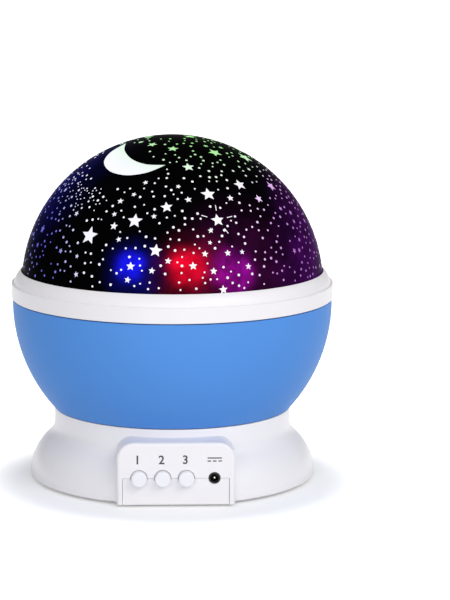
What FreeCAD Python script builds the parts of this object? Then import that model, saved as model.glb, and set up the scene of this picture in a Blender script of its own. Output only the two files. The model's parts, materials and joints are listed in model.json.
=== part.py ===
import FreeCAD, Part
import math
import os
import re
import Sketcher

# Star night light projector. Millimetres, +Z up. The origin is on the table under the
# turning axis, and the control panel looks along -Y.
# Each size is a cell of the sheet: its name, its value, and what it measures.
SIZES = (
    ("foot_height", 1.6, "rubber foot, table to the roof of its recess"),
    ("foot_radius", 4.5, "rubber foot"),
    ("foot_recess", 0.6, "depth of the recess that holds a foot"),
    ("foot_inset", 10.3, "edge of the base to the middle of a foot"),
    ("fit_gap", 0.15, "round a piece that drops into a recess"),
    ("cover_thickness", 2.0, "plate of the bottom cover"),
    ("cover_gap", 0.35, "bottom cover to the wall of the base"),
    ("cover_boss", 2.0, "height of the screw bosses on the cover"),
    ("flare_width", 9.8, "how far the base widens below its neck"),
    ("base_edge", 0.6, "round of the lowest edge of the base"),
    ("base_wall", 2.0, "wall of the flared base"),
    ("neck_room", 6.0, "ring gear to the outside of the base's neck"),
    ("flare_hollow", 8.0, "hollow curve under the neck"),
    ("flare_round", 20.0, "round shoulder of the base"),
    ("deck_level", 28.7, "table to the top of the deck"),
    ("deck_thickness", 2.0, "deck under the bowl"),
    ("sleeve_bore", 8.0, "radius of the hole for the lamp wires"),
    ("sleeve_wall", 5.0, "sleeve that the bowl turns on"),
    ("sleeve_screw_inset", 2.4, "bore of the sleeve to the screws in its wall"),
    ("screw_boss_radius", 3.6, "bosses for the screws of the bottom cover"),
    ("screw_boss_inset", 5.0, "outside of the neck to the screws of the bottom cover"),
    ("panel_set_back", 0.8, "widest radius of the base to the face of the control panel"),
    ("panel_half_width", 23.0, "half the width of the control panel"),
    ("panel_drop", 3.1, "top of the deck down to the top of the control panel"),
    ("panel_wall", 1.8, "wall of the control panel"),
    ("panel_corner", 6.6, "round of the two top corners of the panel"),
    ("panel_edge", 1.3, "round of the edge about the panel's face"),
    ("panel_depth", 15.0, "how far the panel's hollow reaches back"),
    ("tab_inset", 2.3, "side of the panel to the side of the cover's upright tab"),
    ("tab_recess", 0.3, "how far the tab lies behind the panel's face"),
    ("seam_gap", 0.15, "parting line about the tab"),
    ("control_level", 11.55, "table to the axes of the buttons and the jack"),
    ("button_pitch", 9.2, "one button to the next"),
    ("middle_button", -5.15, "X of the middle button"),
    ("button_radius", 3.1, "button cap"),
    ("button_gap", 0.2, "button cap to its hole, on the radius"),
    ("button_proud", 3.0, "how far a button stands out"),
    ("button_round", 0.7, "round of the button's front edge"),
    ("button_collar_width", 1.1, "collar that keeps a button in"),
    ("button_collar_thickness", 1.0, "the same collar"),
    ("button_collar_gap", 0.3, "collar to the inside of the tab"),
    ("button_travel", 0.7, "how far a button goes in"),
    ("board_side_gap", 1.2, "control board to the sides of the panel's hollow"),
    ("board_top_gap", 2.2, "control board to the top of the panel's hollow"),
    ("board_thickness", 1.6, "both circuit boards"),
    ("board_foot_gap", 1.6, "bottom cover to the control board"),
    ("board_set_back", 10.0, "face of the panel to the front of the control board"),
    ("board_screw_inset", 3.0, "side of the control board to its screws"),
    ("board_screw_drop", 2.3, "top of the control board to its screws"),
    ("board_boss_radius", 2.4, "bosses behind the panel for the board"),
    ("switch_width", 6.0, "push switch, square"),
    ("switch_depth", 3.5, "push switch, off the board"),
    ("stem_radius", 1.7, "stem of a push switch"),
    ("stem_gap", 0.1, "stem to the bore of its switch"),
    ("stem_engaged", 1.5, "how far a stem sits in its switch"),
    ("jack_inset", 8.05, "side of the panel to the power socket's middle"),
    ("jack_nose_radius", 2.3, "round front of the power socket"),
    ("jack_nose_wall", 0.55, "wall of the socket's nose"),
    ("jack_bore_depth", 7.0, "depth of the socket's bore"),
    ("jack_set_back", 0.2, "socket's front behind the panel's face"),
    ("jack_gap", 0.1, "socket's nose to its hole, on the radius"),
    ("jack_width", 7.0, "body of the socket"),
    ("jack_height", 8.0, "body of the socket"),
    ("pin_radius", 0.65, "pin of the power socket"),
    ("pin_set_back", 0.5, "tip of the pin behind the socket's front"),
    ("cell_radius", 5.25, "small dry cell, AAA"),
    ("cell_length", 43.3, "small dry cell without its nub"),
    ("cell_nub_radius", 1.9, "nub of a cell"),
    ("cell_nub_length", 1.2, "nub of a cell"),
    ("cell_space", 0.5, "between two cells"),
    ("cell_count", 4, "cells in the bay"),
    ("cell_gap", 0.3, "cell to the door and to the roof of the bay"),
    ("contact_room", 8.5, "what the contacts take of the bay's length"),
    ("motor_clearance", 2.5, "battery bay to the motor"),
    ("bay_wall", 1.5, "walls and roof of the battery bay"),
    ("door_ledge", 0.9, "ledge in the bay that the door closes on"),
    ("door_thickness", 1.6, "battery door"),
    ("door_gap", 0.3, "round the battery door"),
    ("door_pin_radius", 0.5, "the door's two hinge pins"),
    ("door_pin_length", 1.0, "the door's two hinge pins"),
    ("door_pin_gap", 0.1, "hinge pin to its hole, on the radius"),
    ("contact_thickness", 0.4, "sheet of the battery contacts"),
    ("contact_height", 8.0, "battery contacts"),
    ("contact_width", 7.0, "battery contacts"),
    ("washer_thickness", 0.5, "washer that the bowl turns on"),
    ("washer_width", 3.0, "washer, inner to outer edge"),
    ("turn_gap", 0.1, "running fit of the bowl on its sleeve, on the radius"),
    ("bowl_radius", 64.6, "outside of the round bowl"),
    ("bowl_overhang", 0.3, "mouth of the bowl beyond the base's neck"),
    ("bowl_wall", 2.0, "wall of the bowl"),
    ("rim_gap", 0.4, "deck to the low rim of the bowl"),
    ("bowl_depth", 37.2, "floor of the bowl to the shoulder under the dome ring"),
    ("gear_clearance", 2.7, "deck to the ring gear"),
    ("floor_thickness", 2.0, "floor of the bowl"),
    ("end_play", 0.4, "lift of the bowl under the lamp post's flange"),
    ("collar_inset", 1.9, "outside of the bowl to its collar"),
    ("collar_wall", 1.9, "collar of the bowl"),
    ("collar_root", 1.8, "thick root of the collar, below the shoulder"),
    ("gear_module", 1.0, "both gears"),
    ("gear_teeth", 72, "ring gear"),
    ("pinion_teeth", 12, "pinion"),
    ("pressure_angle", 20, "both gears, degrees"),
    ("gear_addendum", 0.6, "short teeth of the ring gear, in modules"),
    ("pinion_addendum", 1.0, "teeth of the pinion, in modules"),
    ("gear_dedendum", 1.25, "both gears, in modules"),
    ("gear_backlash", 0.3, "play between the teeth, along the pitch circle"),
    ("gear_face", 4.6, "height of the ring gear"),
    ("gear_rim", 4.75, "ring gear, root of the teeth to the outside"),
    ("pinion_drop", 0.6, "top of the pinion under the bowl's floor"),
    ("gear_screw_inset", 2.75, "root of the teeth to the screws of the ring gear"),
    ("gear_boss_height", 4.0, "bosses on the bowl's floor for those screws"),
    ("shaft_radius", 1.5, "motor shaft"),
    ("shaft_gap", 0.1, "shaft to the gearbox bore, on the radius"),
    ("motor_width", 12.0, "gear motor along X"),
    ("motor_depth", 10.0, "gear motor along Y"),
    ("motor_foot", 0.4, "pad on the cover under the motor"),
    ("motor_length", 14.4, "motor can"),
    ("gearbox_plate", 1.0, "end plates of the gearbox"),
    ("clamp_wall", 1.6, "bracket round the gearbox"),
    ("clamp_height", 7.0, "bracket round the gearbox"),
    ("clamp_ear", 6.5, "ears of the bracket, beyond its wall"),
    ("clamp_fit", 0.05, "bracket to the gearbox"),
    ("flange_overlap", 2.9, "flange of the lamp post over the bowl's hub"),
    ("post_flange_thickness", 2.0, "flange of the lamp post"),
    ("post_radius", 7.2, "tube of the lamp post"),
    ("post_wall", 1.5, "tube of the lamp post"),
    ("lamp_board_lift", 4.2, "white plate to the lamp board"),
    ("post_head_edge", 0.4, "head of the lamp post beyond the lamp board"),
    ("post_head_thickness", 4.0, "head of the lamp post"),
    ("lamp_board_radius", 10.0, "round lamp board"),
    ("lamp_reach", 4.6, "axis to the middle of a lamp"),
    ("lamp_radius", 2.5, "lamp, domed"),
    ("lamp_height", 8.6, "lamp, board to the tip of its dome"),
    ("lamp_flange_width", 0.4, "foot of a lamp"),
    ("lamp_flange_thickness", 1.0, "foot of a lamp"),
    ("lamp_screw_inset", 2.0, "edge of the lamp board to its screws"),
    ("reflector_drop", 4.0, "shoulder of the bowl down to the white plate"),
    ("reflector_thickness", 1.6, "white plate in the bowl"),
    ("reflector_gap", 0.8, "white plate to the collar that it passes"),
    ("reflector_hole_gap", 1.0, "white plate to the head of the lamp post"),
    ("reflector_post_gap", 4.0, "ring gear's outside to the posts of the white plate"),
    ("reflector_post_radius", 3.2, "posts of the white plate"),
    ("ring_wall", 2.0, "band of the dome ring"),
    ("ring_seam", 0.4, "shoulder of the bowl to the dome ring"),
    ("ring_band_drop", 0.2, "dome's seat down to the top of the band"),
    ("ring_gap", 0.3, "bowl's collar to the dome ring, on the radius"),
    ("ring_edge", 0.4, "round of the ring's outer edges"),
    ("ring_step", 1.0, "step above the band"),
    ("ring_lip_height", 2.9, "collar of the ring above the dome's flange"),
    ("ring_slope", 8.2, "radius of the ring's sloping collar"),
    ("ring_lip", 0.3, "width of the ring's top edge"),
    ("dome_inset", 1.7, "outside of the collar to the dome"),
    ("dome_sink", 2.1, "dome's seat down to the middle of its sphere"),
    ("dome_wall", 1.6, "wall of the star dome"),
    ("collar_height", 6.8, "collar of the bowl, shoulder to its top"),
    ("dome_flange", 1.6, "flange of the star dome"),
    ("lug_angle", 10, "width of a bayonet lug, degrees"),
    ("lug_depth", 1.6, "how far a lug stands in from the ring"),
    ("lug_height", 1.6, "bayonet lug"),
    ("lug_lift", 2.8, "shoulder of the bowl to the underside of a lug"),
    ("lug_gap", 0.2, "lug to its slot, above and below"),
    ("lug_side_gap", 0.6, "lug to its slot, sideways, degrees"),
    ("lug_count", 3, "bayonet lugs"),
    ("lug_turn", 15, "twist that frees the lugs, degrees"),
    ("lug_start", 90, "where the first lug sits, degrees from +X"),
    ("case_screw_radius", 1.3, "screws of the bottom cover"),
    ("case_screw_head", 2.5, "head radius of those screws"),
    ("case_screw_length", 12.0, "those screws under the head"),
    ("small_screw_radius", 1.0, "all the smaller screws"),
    ("small_screw_head", 1.9, "head radius of the smaller screws"),
    ("small_screw_length", 5.0, "smaller screws under the head"),
    ("screw_head_height", 1.3, "heads of all the screws"),
    ("thread_gap", 0.03, "screw to its pilot hole, on the radius"),
    ("screw_gap", 0.2, "screw to a hole that it passes through"),
    ("screw_boss_angle", 25, "first screw of the bottom cover, degrees from +X"),
    ("foot_angle", 45, "first foot, degrees from +X"),
    ("clamp_boss_height", 2.0, "bosses under the deck for the motor's bracket"),
    ("motor_round", 3.0, "rounds of the motor can's corners"),
    ("cut_over", 1.0, "how far a cut runs past its piece"),
    ("merge_depth", 0.5, "how far a boss reaches into what carries it"),
    ("case_screw_seat", 1.6, "top of the cover's bosses to the seats of the screw heads"),
    ("grip_inset", 5.0, "edge of the battery door to the middle of its finger grip"),
    ("grip_radius", 3.5, "finger grip of the battery door"),
    ("door_top_gap", 0.1, "battery door to the ledges over it"),
    ("contact_touch", 0.02, "battery contact to its cell"),
    ("gearbox_window", 2.2, "depth of the open sides between the gearbox's plates"),
    ("shaft_clearance", 1.0, "motor shaft to the hole of the deck, on the radius"),
    ("shaft_end_gap", 0.2, "low plate of the gearbox to the shaft"),
    ("clamp_ear_half", 2.9, "half the width of the bracket's ears"),
    ("gear_boss_radius", 2.9, "bosses on the bowl's floor for the ring gear's screws"),
    ("collar_slope", 2.0, "slope under the thick root of the collar"),
    ("reflector_lip_width", 1.6, "lip round the hole of the white plate"),
    ("reflector_lip_height", 0.8, "the same lip"),
    ("dome_fit", 0.05, "dome to the lip of its ring, on the radius"),
    ("head_top", 0.7, "top of a screw head, as a share of its radius"),
)

# Levels, radii and places that follow from the sizes.
FOLLOWS = {
    "cover_low": "foot_height - foot_recess",
    "cover_top": "cover_low + cover_thickness",
    "boss_top": "cover_top + cover_boss",
    "head_seat": "boss_top - case_screw_seat",
    "gear_root": "gear_module * (gear_teeth / 2 + gear_dedendum)",
    "gear_outside": "gear_root + gear_rim",
    "shaft_reach": "gear_module * (gear_teeth - pinion_teeth) / 2",
    "neck_radius": "gear_outside + neck_room",
    "base_radius": "neck_radius + flare_width",
    "base_inside": "base_radius - base_wall",
    "foot_reach": "base_radius - foot_inset",
    "screw_boss_reach": "neck_radius - screw_boss_inset",
    "flare_share": "(neck_radius + flare_hollow - base_radius + flare_round) / (flare_hollow + flare_round)",
    "flare_rise": "sqrt(1 - flare_share ^ 2)",
    "flare_low": "cover_low + base_edge",
    "flare_high": "flare_low + (flare_hollow + flare_round) * flare_rise",
    "flare_axis": "base_radius - flare_round",
    "deck_low": "deck_level - deck_thickness",
    "panel_front": "base_radius - panel_set_back",
    "panel_inside": "panel_front - panel_wall",
    "panel_top": "deck_level - panel_drop",
    "tab_half_width": "panel_half_width - tab_inset",
    "tab_face": "panel_front - tab_recess",
    "tab_inside": "tab_face - panel_wall",
    "collar_front": "tab_inside - button_collar_gap",
    "button_back": "collar_front - button_collar_thickness",
    "button_collar_radius": "button_radius + button_collar_width",
    "board_face": "panel_front - board_set_back",
    "board_back": "board_face - board_thickness",
    "board_low": "cover_top + board_foot_gap",
    "board_width": "2 * (panel_half_width - panel_wall - board_side_gap)",
    "board_height": "panel_top - panel_wall - board_top_gap - board_low",
    "board_screw_reach": "board_width / 2 - board_screw_inset",
    "board_screw_level": "board_low + board_height - board_screw_drop",
    "switch_front": "board_face + switch_depth",
    "jack_place": "panel_half_width - jack_inset",
    "jack_bore": "jack_nose_radius - jack_nose_wall",
    "cell_pitch": "2 * cell_radius + cell_space",
    "bay_width": "cell_count * cell_pitch",
    "bay_length": "cell_length + cell_nub_length + contact_room",
    "bay_middle": "shaft_reach - motor_depth / 2 - motor_clearance - bay_wall - bay_width / 2",
    "door_top": "cover_low + door_thickness",
    "door_half": "bay_length / 2 + door_ledge",
    "door_wide": "bay_width / 2 + door_ledge",
    "door_axis": "cover_low + door_thickness / 2",
    "cell_axis": "door_top + cell_gap + cell_radius",
    "bay_top": "cell_axis + cell_radius + cell_gap",
    "motor_low": "cover_top + motor_foot",
    "motor_top": "motor_low + motor_length",
    "clamp_top": "deck_low - clamp_boss_height",
    "clamp_screw": "motor_width / 2 + clamp_wall + clamp_ear / 2",
    "washer_top": "deck_level + washer_thickness",
    "sleeve_radius": "sleeve_bore + sleeve_wall",
    "sleeve_top": "floor_top + end_play",
    "sleeve_screw_reach": "sleeve_bore + sleeve_screw_inset",
    "hub_bore": "sleeve_radius + turn_gap",
    "hub_radius": "hub_bore + washer_width",
    "gear_low": "floor_level - gear_face",
    "gear_screw_reach": "gear_root + gear_screw_inset",
    "pinion_top": "floor_level - pinion_drop",
    "floor_level": "deck_level + gear_clearance + gear_face",
    "floor_top": "floor_level + floor_thickness",
    "bowl_rim": "deck_level + rim_gap",
    "bowl_centre": "bowl_rim + sqrt(bowl_radius ^ 2 - (neck_radius + bowl_overhang) ^ 2)",
    "bowl_shoulder": "floor_level + bowl_depth",
    "collar_radius": "bowl_radius - collar_inset",
    "reflector_level": "bowl_shoulder - reflector_drop",
    "reflector_radius": "collar_radius - collar_wall - reflector_gap",
    "reflector_hole": "post_head_radius + reflector_hole_gap",
    "reflector_post_reach": "gear_outside + reflector_post_gap",
    "post_low": "sleeve_top",
    "post_flange_radius": "hub_radius + flange_overlap",
    "post_flange_top": "post_low + post_flange_thickness",
    "post_head_radius": "lamp_board_radius + post_head_edge",
    "post_top": "reflector_level + lamp_board_lift",
    "lamp_board_top": "post_top + board_thickness",
    "lamp_flange_radius": "lamp_radius + lamp_flange_width",
    "lamp_screw_reach": "lamp_board_radius - lamp_screw_inset",
    "dome_seat": "bowl_shoulder + collar_height",
    "dome_radius": "collar_radius - dome_inset",
    "dome_centre": "dome_seat - dome_sink",
    "ring_bore": "collar_radius + ring_gap",
    "ring_radius": "ring_bore + ring_wall",
    "ring_low": "bowl_shoulder + ring_seam",
    "ring_shoulder": "dome_seat + dome_flange",
    "ring_lip_bore": "dome_radius + dome_fit",
    "ring_band_top": "dome_seat - ring_band_drop",
    "ring_top": "ring_shoulder + ring_lip_height",
    "lug_level": "bowl_shoulder + lug_lift",
    "pilot_radius": "small_screw_radius + thread_gap",
    "passage_radius": "small_screw_radius + screw_gap",
}

LEFT = 1
RIGHT = -1
QUARTER_TURN = 90

document = FreeCAD.newDocument("night_light")
sheet = document.addObject("Spreadsheet::Sheet", "sizes")
for row, (name, size, meaning) in enumerate(SIZES, start=1):
    sheet.set(f"A{row}", name)
    sheet.set(f"B{row}", str(size))
    sheet.setAlias(f"B{row}", name)
    sheet.set(f"C{row}", meaning)
document.recompute()


def bound(formula):
    """Write a formula of size names as an expression on the sheet."""
    def spelled(word):
        name = word.group(0)
        return f"({bound(FOLLOWS[name])})" if name in FOLLOWS else "sizes." + name
    return re.sub(r"[a-z]+(?:_[a-z]+)+", spelled, str(formula))


def value(formula):
    """Work a formula of size names out as a number."""
    result = sheet.evalExpression(bound(formula))
    return float(getattr(result, "Value", result))


def bind(thing, **sizes):
    """Tie properties of an object to formulas of size names."""
    for name, formula in sizes.items():
        thing.setExpression(name.replace("__", "."), bound(formula))


def origin_part(body, role):
    """Find an axis or plane of a body's own origin."""
    return [part for part in body.Origin.OriginFeatures if part.Role == role][0]


def new_body(name):
    """Start a sub-part that is built from sketches."""
    body = document.addObject("PartDesign::Body", name)
    body.Label = name
    return body


def new_sketch(body, plane="XZ_Plane", beside="0", up="0", out="0", turn=None):
    """Put a sketch on an origin plane, moved along its own axes, or turned about its upright."""
    sketch = body.newObject("Sketcher::SketchObject", body.Name + "_sketch")
    sketch.AttachmentSupport = [(origin_part(body, plane), "")]
    sketch.MapMode = "FlatFace"
    place = FreeCAD.Vector(value(beside), value(up), value(out))
    upright = FreeCAD.Vector(0, 1, 0)
    angle = value(turn) if turn else 0
    sketch.AttachmentOffset = FreeCAD.Placement(place, FreeCAD.Rotation(upright, angle))
    for axis, formula in (("x", beside), ("y", up), ("z", out)):
        if formula != "0":
            sketch.setExpression("AttachmentOffset.Base." + axis, bound(formula))
    if turn:
        sketch.setExpression("AttachmentOffset.Rotation.Angle", bound(turn))
    return sketch


def point(x, y):
    """Point of a sketch from two formulas."""
    return FreeCAD.Vector(value(x), value(y), 0)


def arc_between(start, end, radius, side):
    """Make the short arc between two points, its middle to the left or right of the way."""
    chord = end - start
    square = FreeCAD.Vector(-chord.y, chord.x, 0).normalize() * side
    reach = math.sqrt(max(radius ** 2 - chord.Length ** 2 / 4, 0))
    middle = (start + end) / 2 + square * reach
    first, last = (start, end) if side == LEFT else (end, start)
    low = math.atan2(first.y - middle.y, first.x - middle.x)
    high = math.atan2(last.y - middle.y, last.x - middle.x)
    circle = Part.Circle(middle, FreeCAD.Vector(0, 0, 1), radius)
    return Part.ArcOfCircle(circle, low, high)


def hold_point(sketch, edge, end, x, y):
    """Fix one end of an edge at formulas of size names."""
    for kind, axis, formula in (("DistanceX", -2, x), ("DistanceY", -1, y)):
        if formula == "0":
            sketch.addConstraint(Sketcher.Constraint("PointOnObject", edge, end, axis))
            continue
        row = sketch.addConstraint(Sketcher.Constraint(kind, -1, 1, edge, end, value(formula)))
        sketch.setExpression(f"Constraints[{row}]", bound(formula))


def outline(sketch, corners):
    """Close a chain of corners. One with a radius and a side is reached by an arc."""
    places = [FreeCAD.Vector(value(corner[0]), value(corner[1]), 0) for corner in corners]
    first = sketch.GeometryCount
    ends = []
    for index, corner in enumerate(corners):
        start, end = places[index - 1], places[index]
        side = corner[3] if len(corner) > 2 else LEFT
        if len(corner) > 2:
            sketch.addGeometry(arc_between(start, end, value(corner[2]), side))
        else:
            sketch.addGeometry(Part.LineSegment(start, end))
        ends.append((1, 2) if side == LEFT else (2, 1))
    for index, corner in enumerate(corners):
        after = (index + 1) % len(corners)
        meeting = (first + index, ends[index][1], first + after, ends[after][0])
        sketch.addConstraint(Sketcher.Constraint("Coincident", *meeting))
        hold_point(sketch, first + index, ends[index][1], corner[0], corner[1])
        if len(corner) > 2:
            radius = Sketcher.Constraint("Radius", first + index, value(corner[2]))
            row = sketch.addConstraint(radius)
            sketch.setExpression(f"Constraints[{row}]", bound(corner[2]))


def rectangle(sketch, left, low, right, high):
    """Draw a closed box in a sketch."""
    outline(sketch, [(left, low), (right, low), (right, high), (left, high)])


def circle(sketch, x, y, radius):
    """Draw a circle in a sketch."""
    middle = FreeCAD.Vector(value(x), value(y), 0)
    edge = sketch.addGeometry(Part.Circle(middle, FreeCAD.Vector(0, 0, 1), value(radius)))
    hold_point(sketch, edge, 3, x, y)
    row = sketch.addConstraint(Sketcher.Constraint("Radius", edge, value(radius)))
    sketch.setExpression(f"Constraints[{row}]", bound(radius))


def turned(body, sketch, sweep="360", cut=False):
    """Revolve a sketch about its upright axis, or cut with it."""
    kind = "Groove" if cut else "Revolution"
    feature = body.newObject("PartDesign::" + kind, body.Name + "_" + kind.lower())
    feature.Profile = sketch
    feature.ReferenceAxis = (sketch, ["V_Axis"])
    feature.Midplane = True
    bind(feature, Angle=sweep)
    return feature


def turned_about(body, sketch, start, end):
    """Revolve a sketch about a line of its own."""
    axis = sketch.addGeometry(Part.LineSegment(point(*start), point(*end)), True)
    hold_point(sketch, axis, 1, *start)
    hold_point(sketch, axis, 2, *end)
    feature = body.newObject("PartDesign::Revolution", body.Name + "_revolution")
    feature.Profile = sketch
    feature.ReferenceAxis = (sketch, ["Axis0"])
    feature.Angle = 360
    return feature


def raised(body, sketch, length):
    """Pad a sketch along its normal."""
    feature = body.newObject("PartDesign::Pad", body.Name + "_pad")
    feature.Profile = sketch
    bind(feature, Length=length)
    return feature


def sunk(body, sketch, depth, ahead=True):
    """Cut a pocket, ahead along the sketch's normal or back against it."""
    feature = body.newObject("PartDesign::Pocket", body.Name + "_pocket")
    feature.Profile = sketch
    feature.Reversed = ahead
    bind(feature, Length=depth)
    return feature


def repeated(body, features, count):
    """Repeat features evenly about the upright axis."""
    feature = body.newObject("PartDesign::PolarPattern", body.Name + "_pattern")
    feature.Originals = features
    feature.Axis = (origin_part(body, "Z_Axis"), [""])
    feature.Angle = 360
    bind(feature, Occurrences=count)
    body.Tip = feature
    return feature


def primitive(kind, name, x="0", y="0", z="0", along="Z", **sizes):
    """Make a box, cylinder, cone or sphere at a place, with its length along an axis."""
    turns = {"Z": ((0, 0, 1), 0), "X": ((0, 1, 0), QUARTER_TURN), "-X": ((0, 1, 0), -QUARTER_TURN),
             "Y": ((1, 0, 0), -QUARTER_TURN), "-Y": ((1, 0, 0), QUARTER_TURN)}
    thing = document.addObject("Part::" + kind, name)
    axis, angle = turns[along]
    place = FreeCAD.Vector(value(x), value(y), value(z))
    thing.Placement = FreeCAD.Placement(place, FreeCAD.Rotation(FreeCAD.Vector(*axis), angle))
    bind(thing, **sizes)
    bind(thing, Placement__Base__x=x, Placement__Base__y=y, Placement__Base__z=z)
    return thing


def joined(name, pieces):
    """Fuse pieces into one."""
    thing = document.addObject("Part::MultiFuse", name)
    thing.Shapes = pieces
    thing.Refine = True
    return thing


def less(name, whole, tools):
    """Cut tools out of a whole."""
    thing = document.addObject("Part::Cut", name)
    thing.Base = whole
    thing.Tool = tools[0] if len(tools) == 1 else joined(name + "_tools", tools)
    thing.Refine = True
    return thing


def grouped(name, pieces):
    """Keep alike pieces as separate solids of one sub-part."""
    thing = document.addObject("Part::Compound", name)
    thing.Links = pieces
    return thing


def ball_edge(radius, centre, level):
    """Radius of a sphere at a level."""
    return f"sqrt({radius} ^ 2 - ({level} - {centre}) ^ 2)"


# Base: shell, cover and feet

def flare(neck, hollow, shoulder):
    """Corners of the flared side above its lowest point: round shoulder, then hollow neck."""
    return [
        (f"flare_axis + {shoulder} * flare_share", f"flare_low + {shoulder} * flare_rise",
         shoulder, LEFT),
        (neck, "flare_high", hollow, RIGHT),
    ]


def panel_outline(sketch, inset, low):
    """Front view of the control panel: square below, round at its top corners."""
    half = f"(panel_half_width - {inset})"
    top = f"(panel_top - {inset})"
    corner = f"(panel_corner - {inset})"
    outline(sketch, [
        (f"-{half}", low), (half, low), (half, f"{top} - {corner}"),
        (f"{half} - {corner}", top, corner, LEFT), (f"{corner} - {half}", top),
        (f"-{half}", f"{top} - {corner}", corner, LEFT)])


def control_holes(body):
    """Cut the holes of the three buttons and the power socket through the panel."""
    holes = new_sketch(body, out="panel_front + cut_over")
    for place in (-1, 0, 1):
        circle(holes, f"middle_button + {place} * button_pitch", "control_level",
               "button_radius + button_gap")
    circle(holes, "jack_place", "control_level", "jack_nose_radius + jack_gap")
    sunk(body, holes, "tab_recess + panel_wall + 2 * cut_over", ahead=False)


def around(reach, angle):
    """X and Y of a place given by its reach and its angle about the axis."""
    return f"{reach} * cos({angle})", f"{reach} * sin({angle})"


def base_shell():
    """Flared shell with its deck, sleeve, screw bosses and hollow control panel."""
    body = new_body("base_shell")
    whole = new_sketch(body)
    outline(whole, [
        ("0", "cover_low"), ("base_radius - base_edge", "cover_low"),
        ("base_radius", "flare_low", "base_edge", LEFT),
        *flare("neck_radius", "flare_hollow", "flare_round"),
        ("neck_radius", "deck_level"), ("sleeve_radius", "deck_level"),
        ("sleeve_radius", "sleeve_top"), ("0", "sleeve_top")])
    turned(body, whole)
    panel = new_sketch(body, out="panel_front - panel_depth")
    panel_outline(panel, "0", "cover_low")
    raised(body, panel, "panel_depth")
    flat = new_sketch(body, out="panel_front")
    rectangle(flat, "-panel_half_width", "0", "panel_half_width", "panel_top")
    front = sunk(body, flat, "base_radius - panel_front + cut_over", ahead=True)
    document.recompute()
    edges = [f"Edge{number}" for number, edge in enumerate(front.Shape.Edges, start=1)
             if abs(edge.BoundBox.YMax + value("panel_front")) < 0.001
             and edge.BoundBox.ZMax > value("cover_low") + 0.01]
    soft = body.newObject("PartDesign::Fillet", "base_shell_edge")
    soft.Base = (front, edges)
    bind(soft, Radius="panel_edge")
    inside = new_sketch(body)
    outline(inside, [
        ("0", "0"), ("base_inside", "0"), ("base_inside", "flare_low"),
        *flare("neck_radius - base_wall", "flare_hollow + base_wall",
               "(flare_round - base_wall)"),
        ("neck_radius - base_wall", "deck_low"), ("0", "deck_low")])
    turned(body, inside, cut=True)
    hollow = new_sketch(body, out="panel_inside")
    panel_outline(hollow, "panel_wall", "0")
    sunk(body, hollow, "panel_depth", ahead=False)
    opening = new_sketch(body, out="panel_front + cut_over")
    rectangle(opening, "-tab_half_width - seam_gap", "0", "tab_half_width + seam_gap",
              "control_level")
    sunk(body, opening, "panel_wall + 2 * cut_over", ahead=False)
    control_holes(body)
    bore = new_sketch(body, "XY_Plane", out="sleeve_top + cut_over")
    circle(bore, "0", "0", "sleeve_bore")
    sunk(body, bore, "sleeve_top", ahead=False)
    shaft = new_sketch(body, "XY_Plane", out="deck_level + cut_over")
    circle(shaft, "0", "shaft_reach", "shaft_radius + shaft_clearance")
    sunk(body, shaft, "deck_thickness + 2 * cut_over", ahead=False)
    case_screws = around("screw_boss_reach", "screw_boss_angle")
    boss = new_sketch(body, "XY_Plane", out="boss_top")
    circle(boss, *case_screws, "screw_boss_radius")
    repeated(body, [raised(body, boss, "deck_low - boss_top + merge_depth")], "4")
    pilot = new_sketch(body, "XY_Plane", out="boss_top")
    circle(pilot, *case_screws, "case_screw_radius + thread_gap")
    repeated(body, [sunk(body, pilot, "case_screw_length", ahead=True)], "4")
    post_pilot = new_sketch(body, "XY_Plane", out="sleeve_top")
    circle(post_pilot, "0", "sleeve_screw_reach", "pilot_radius")
    repeated(body, [sunk(body, post_pilot, "small_screw_length", ahead=False)], "3")
    board_boss = new_sketch(body, out="board_face")
    board_pilot = new_sketch(body, out="board_face")
    clamp_boss = new_sketch(body, "XY_Plane", out="clamp_top")
    clamp_pilot = new_sketch(body, "XY_Plane", out="clamp_top")
    for side in ("-", ""):
        circle(board_boss, side + "board_screw_reach", "board_screw_level", "board_boss_radius")
        circle(board_pilot, side + "board_screw_reach", "board_screw_level", "pilot_radius")
        circle(clamp_boss, side + "clamp_screw", "shaft_reach", "board_boss_radius")
        circle(clamp_pilot, side + "clamp_screw", "shaft_reach", "pilot_radius")
    raised(body, board_boss, "panel_inside - board_face + merge_depth")
    sunk(body, board_pilot, "small_screw_length", ahead=True)
    raised(body, clamp_boss, "deck_low - clamp_top + merge_depth")
    sunk(body, clamp_pilot, "small_screw_length - clamp_wall", ahead=True)


def bay_box(sketch, half_length, half_width):
    """Draw a box about the middle of the battery bay."""
    rectangle(sketch, f"-{half_length}", f"bay_middle - {half_width}", half_length,
              f"bay_middle + {half_width}")


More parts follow.
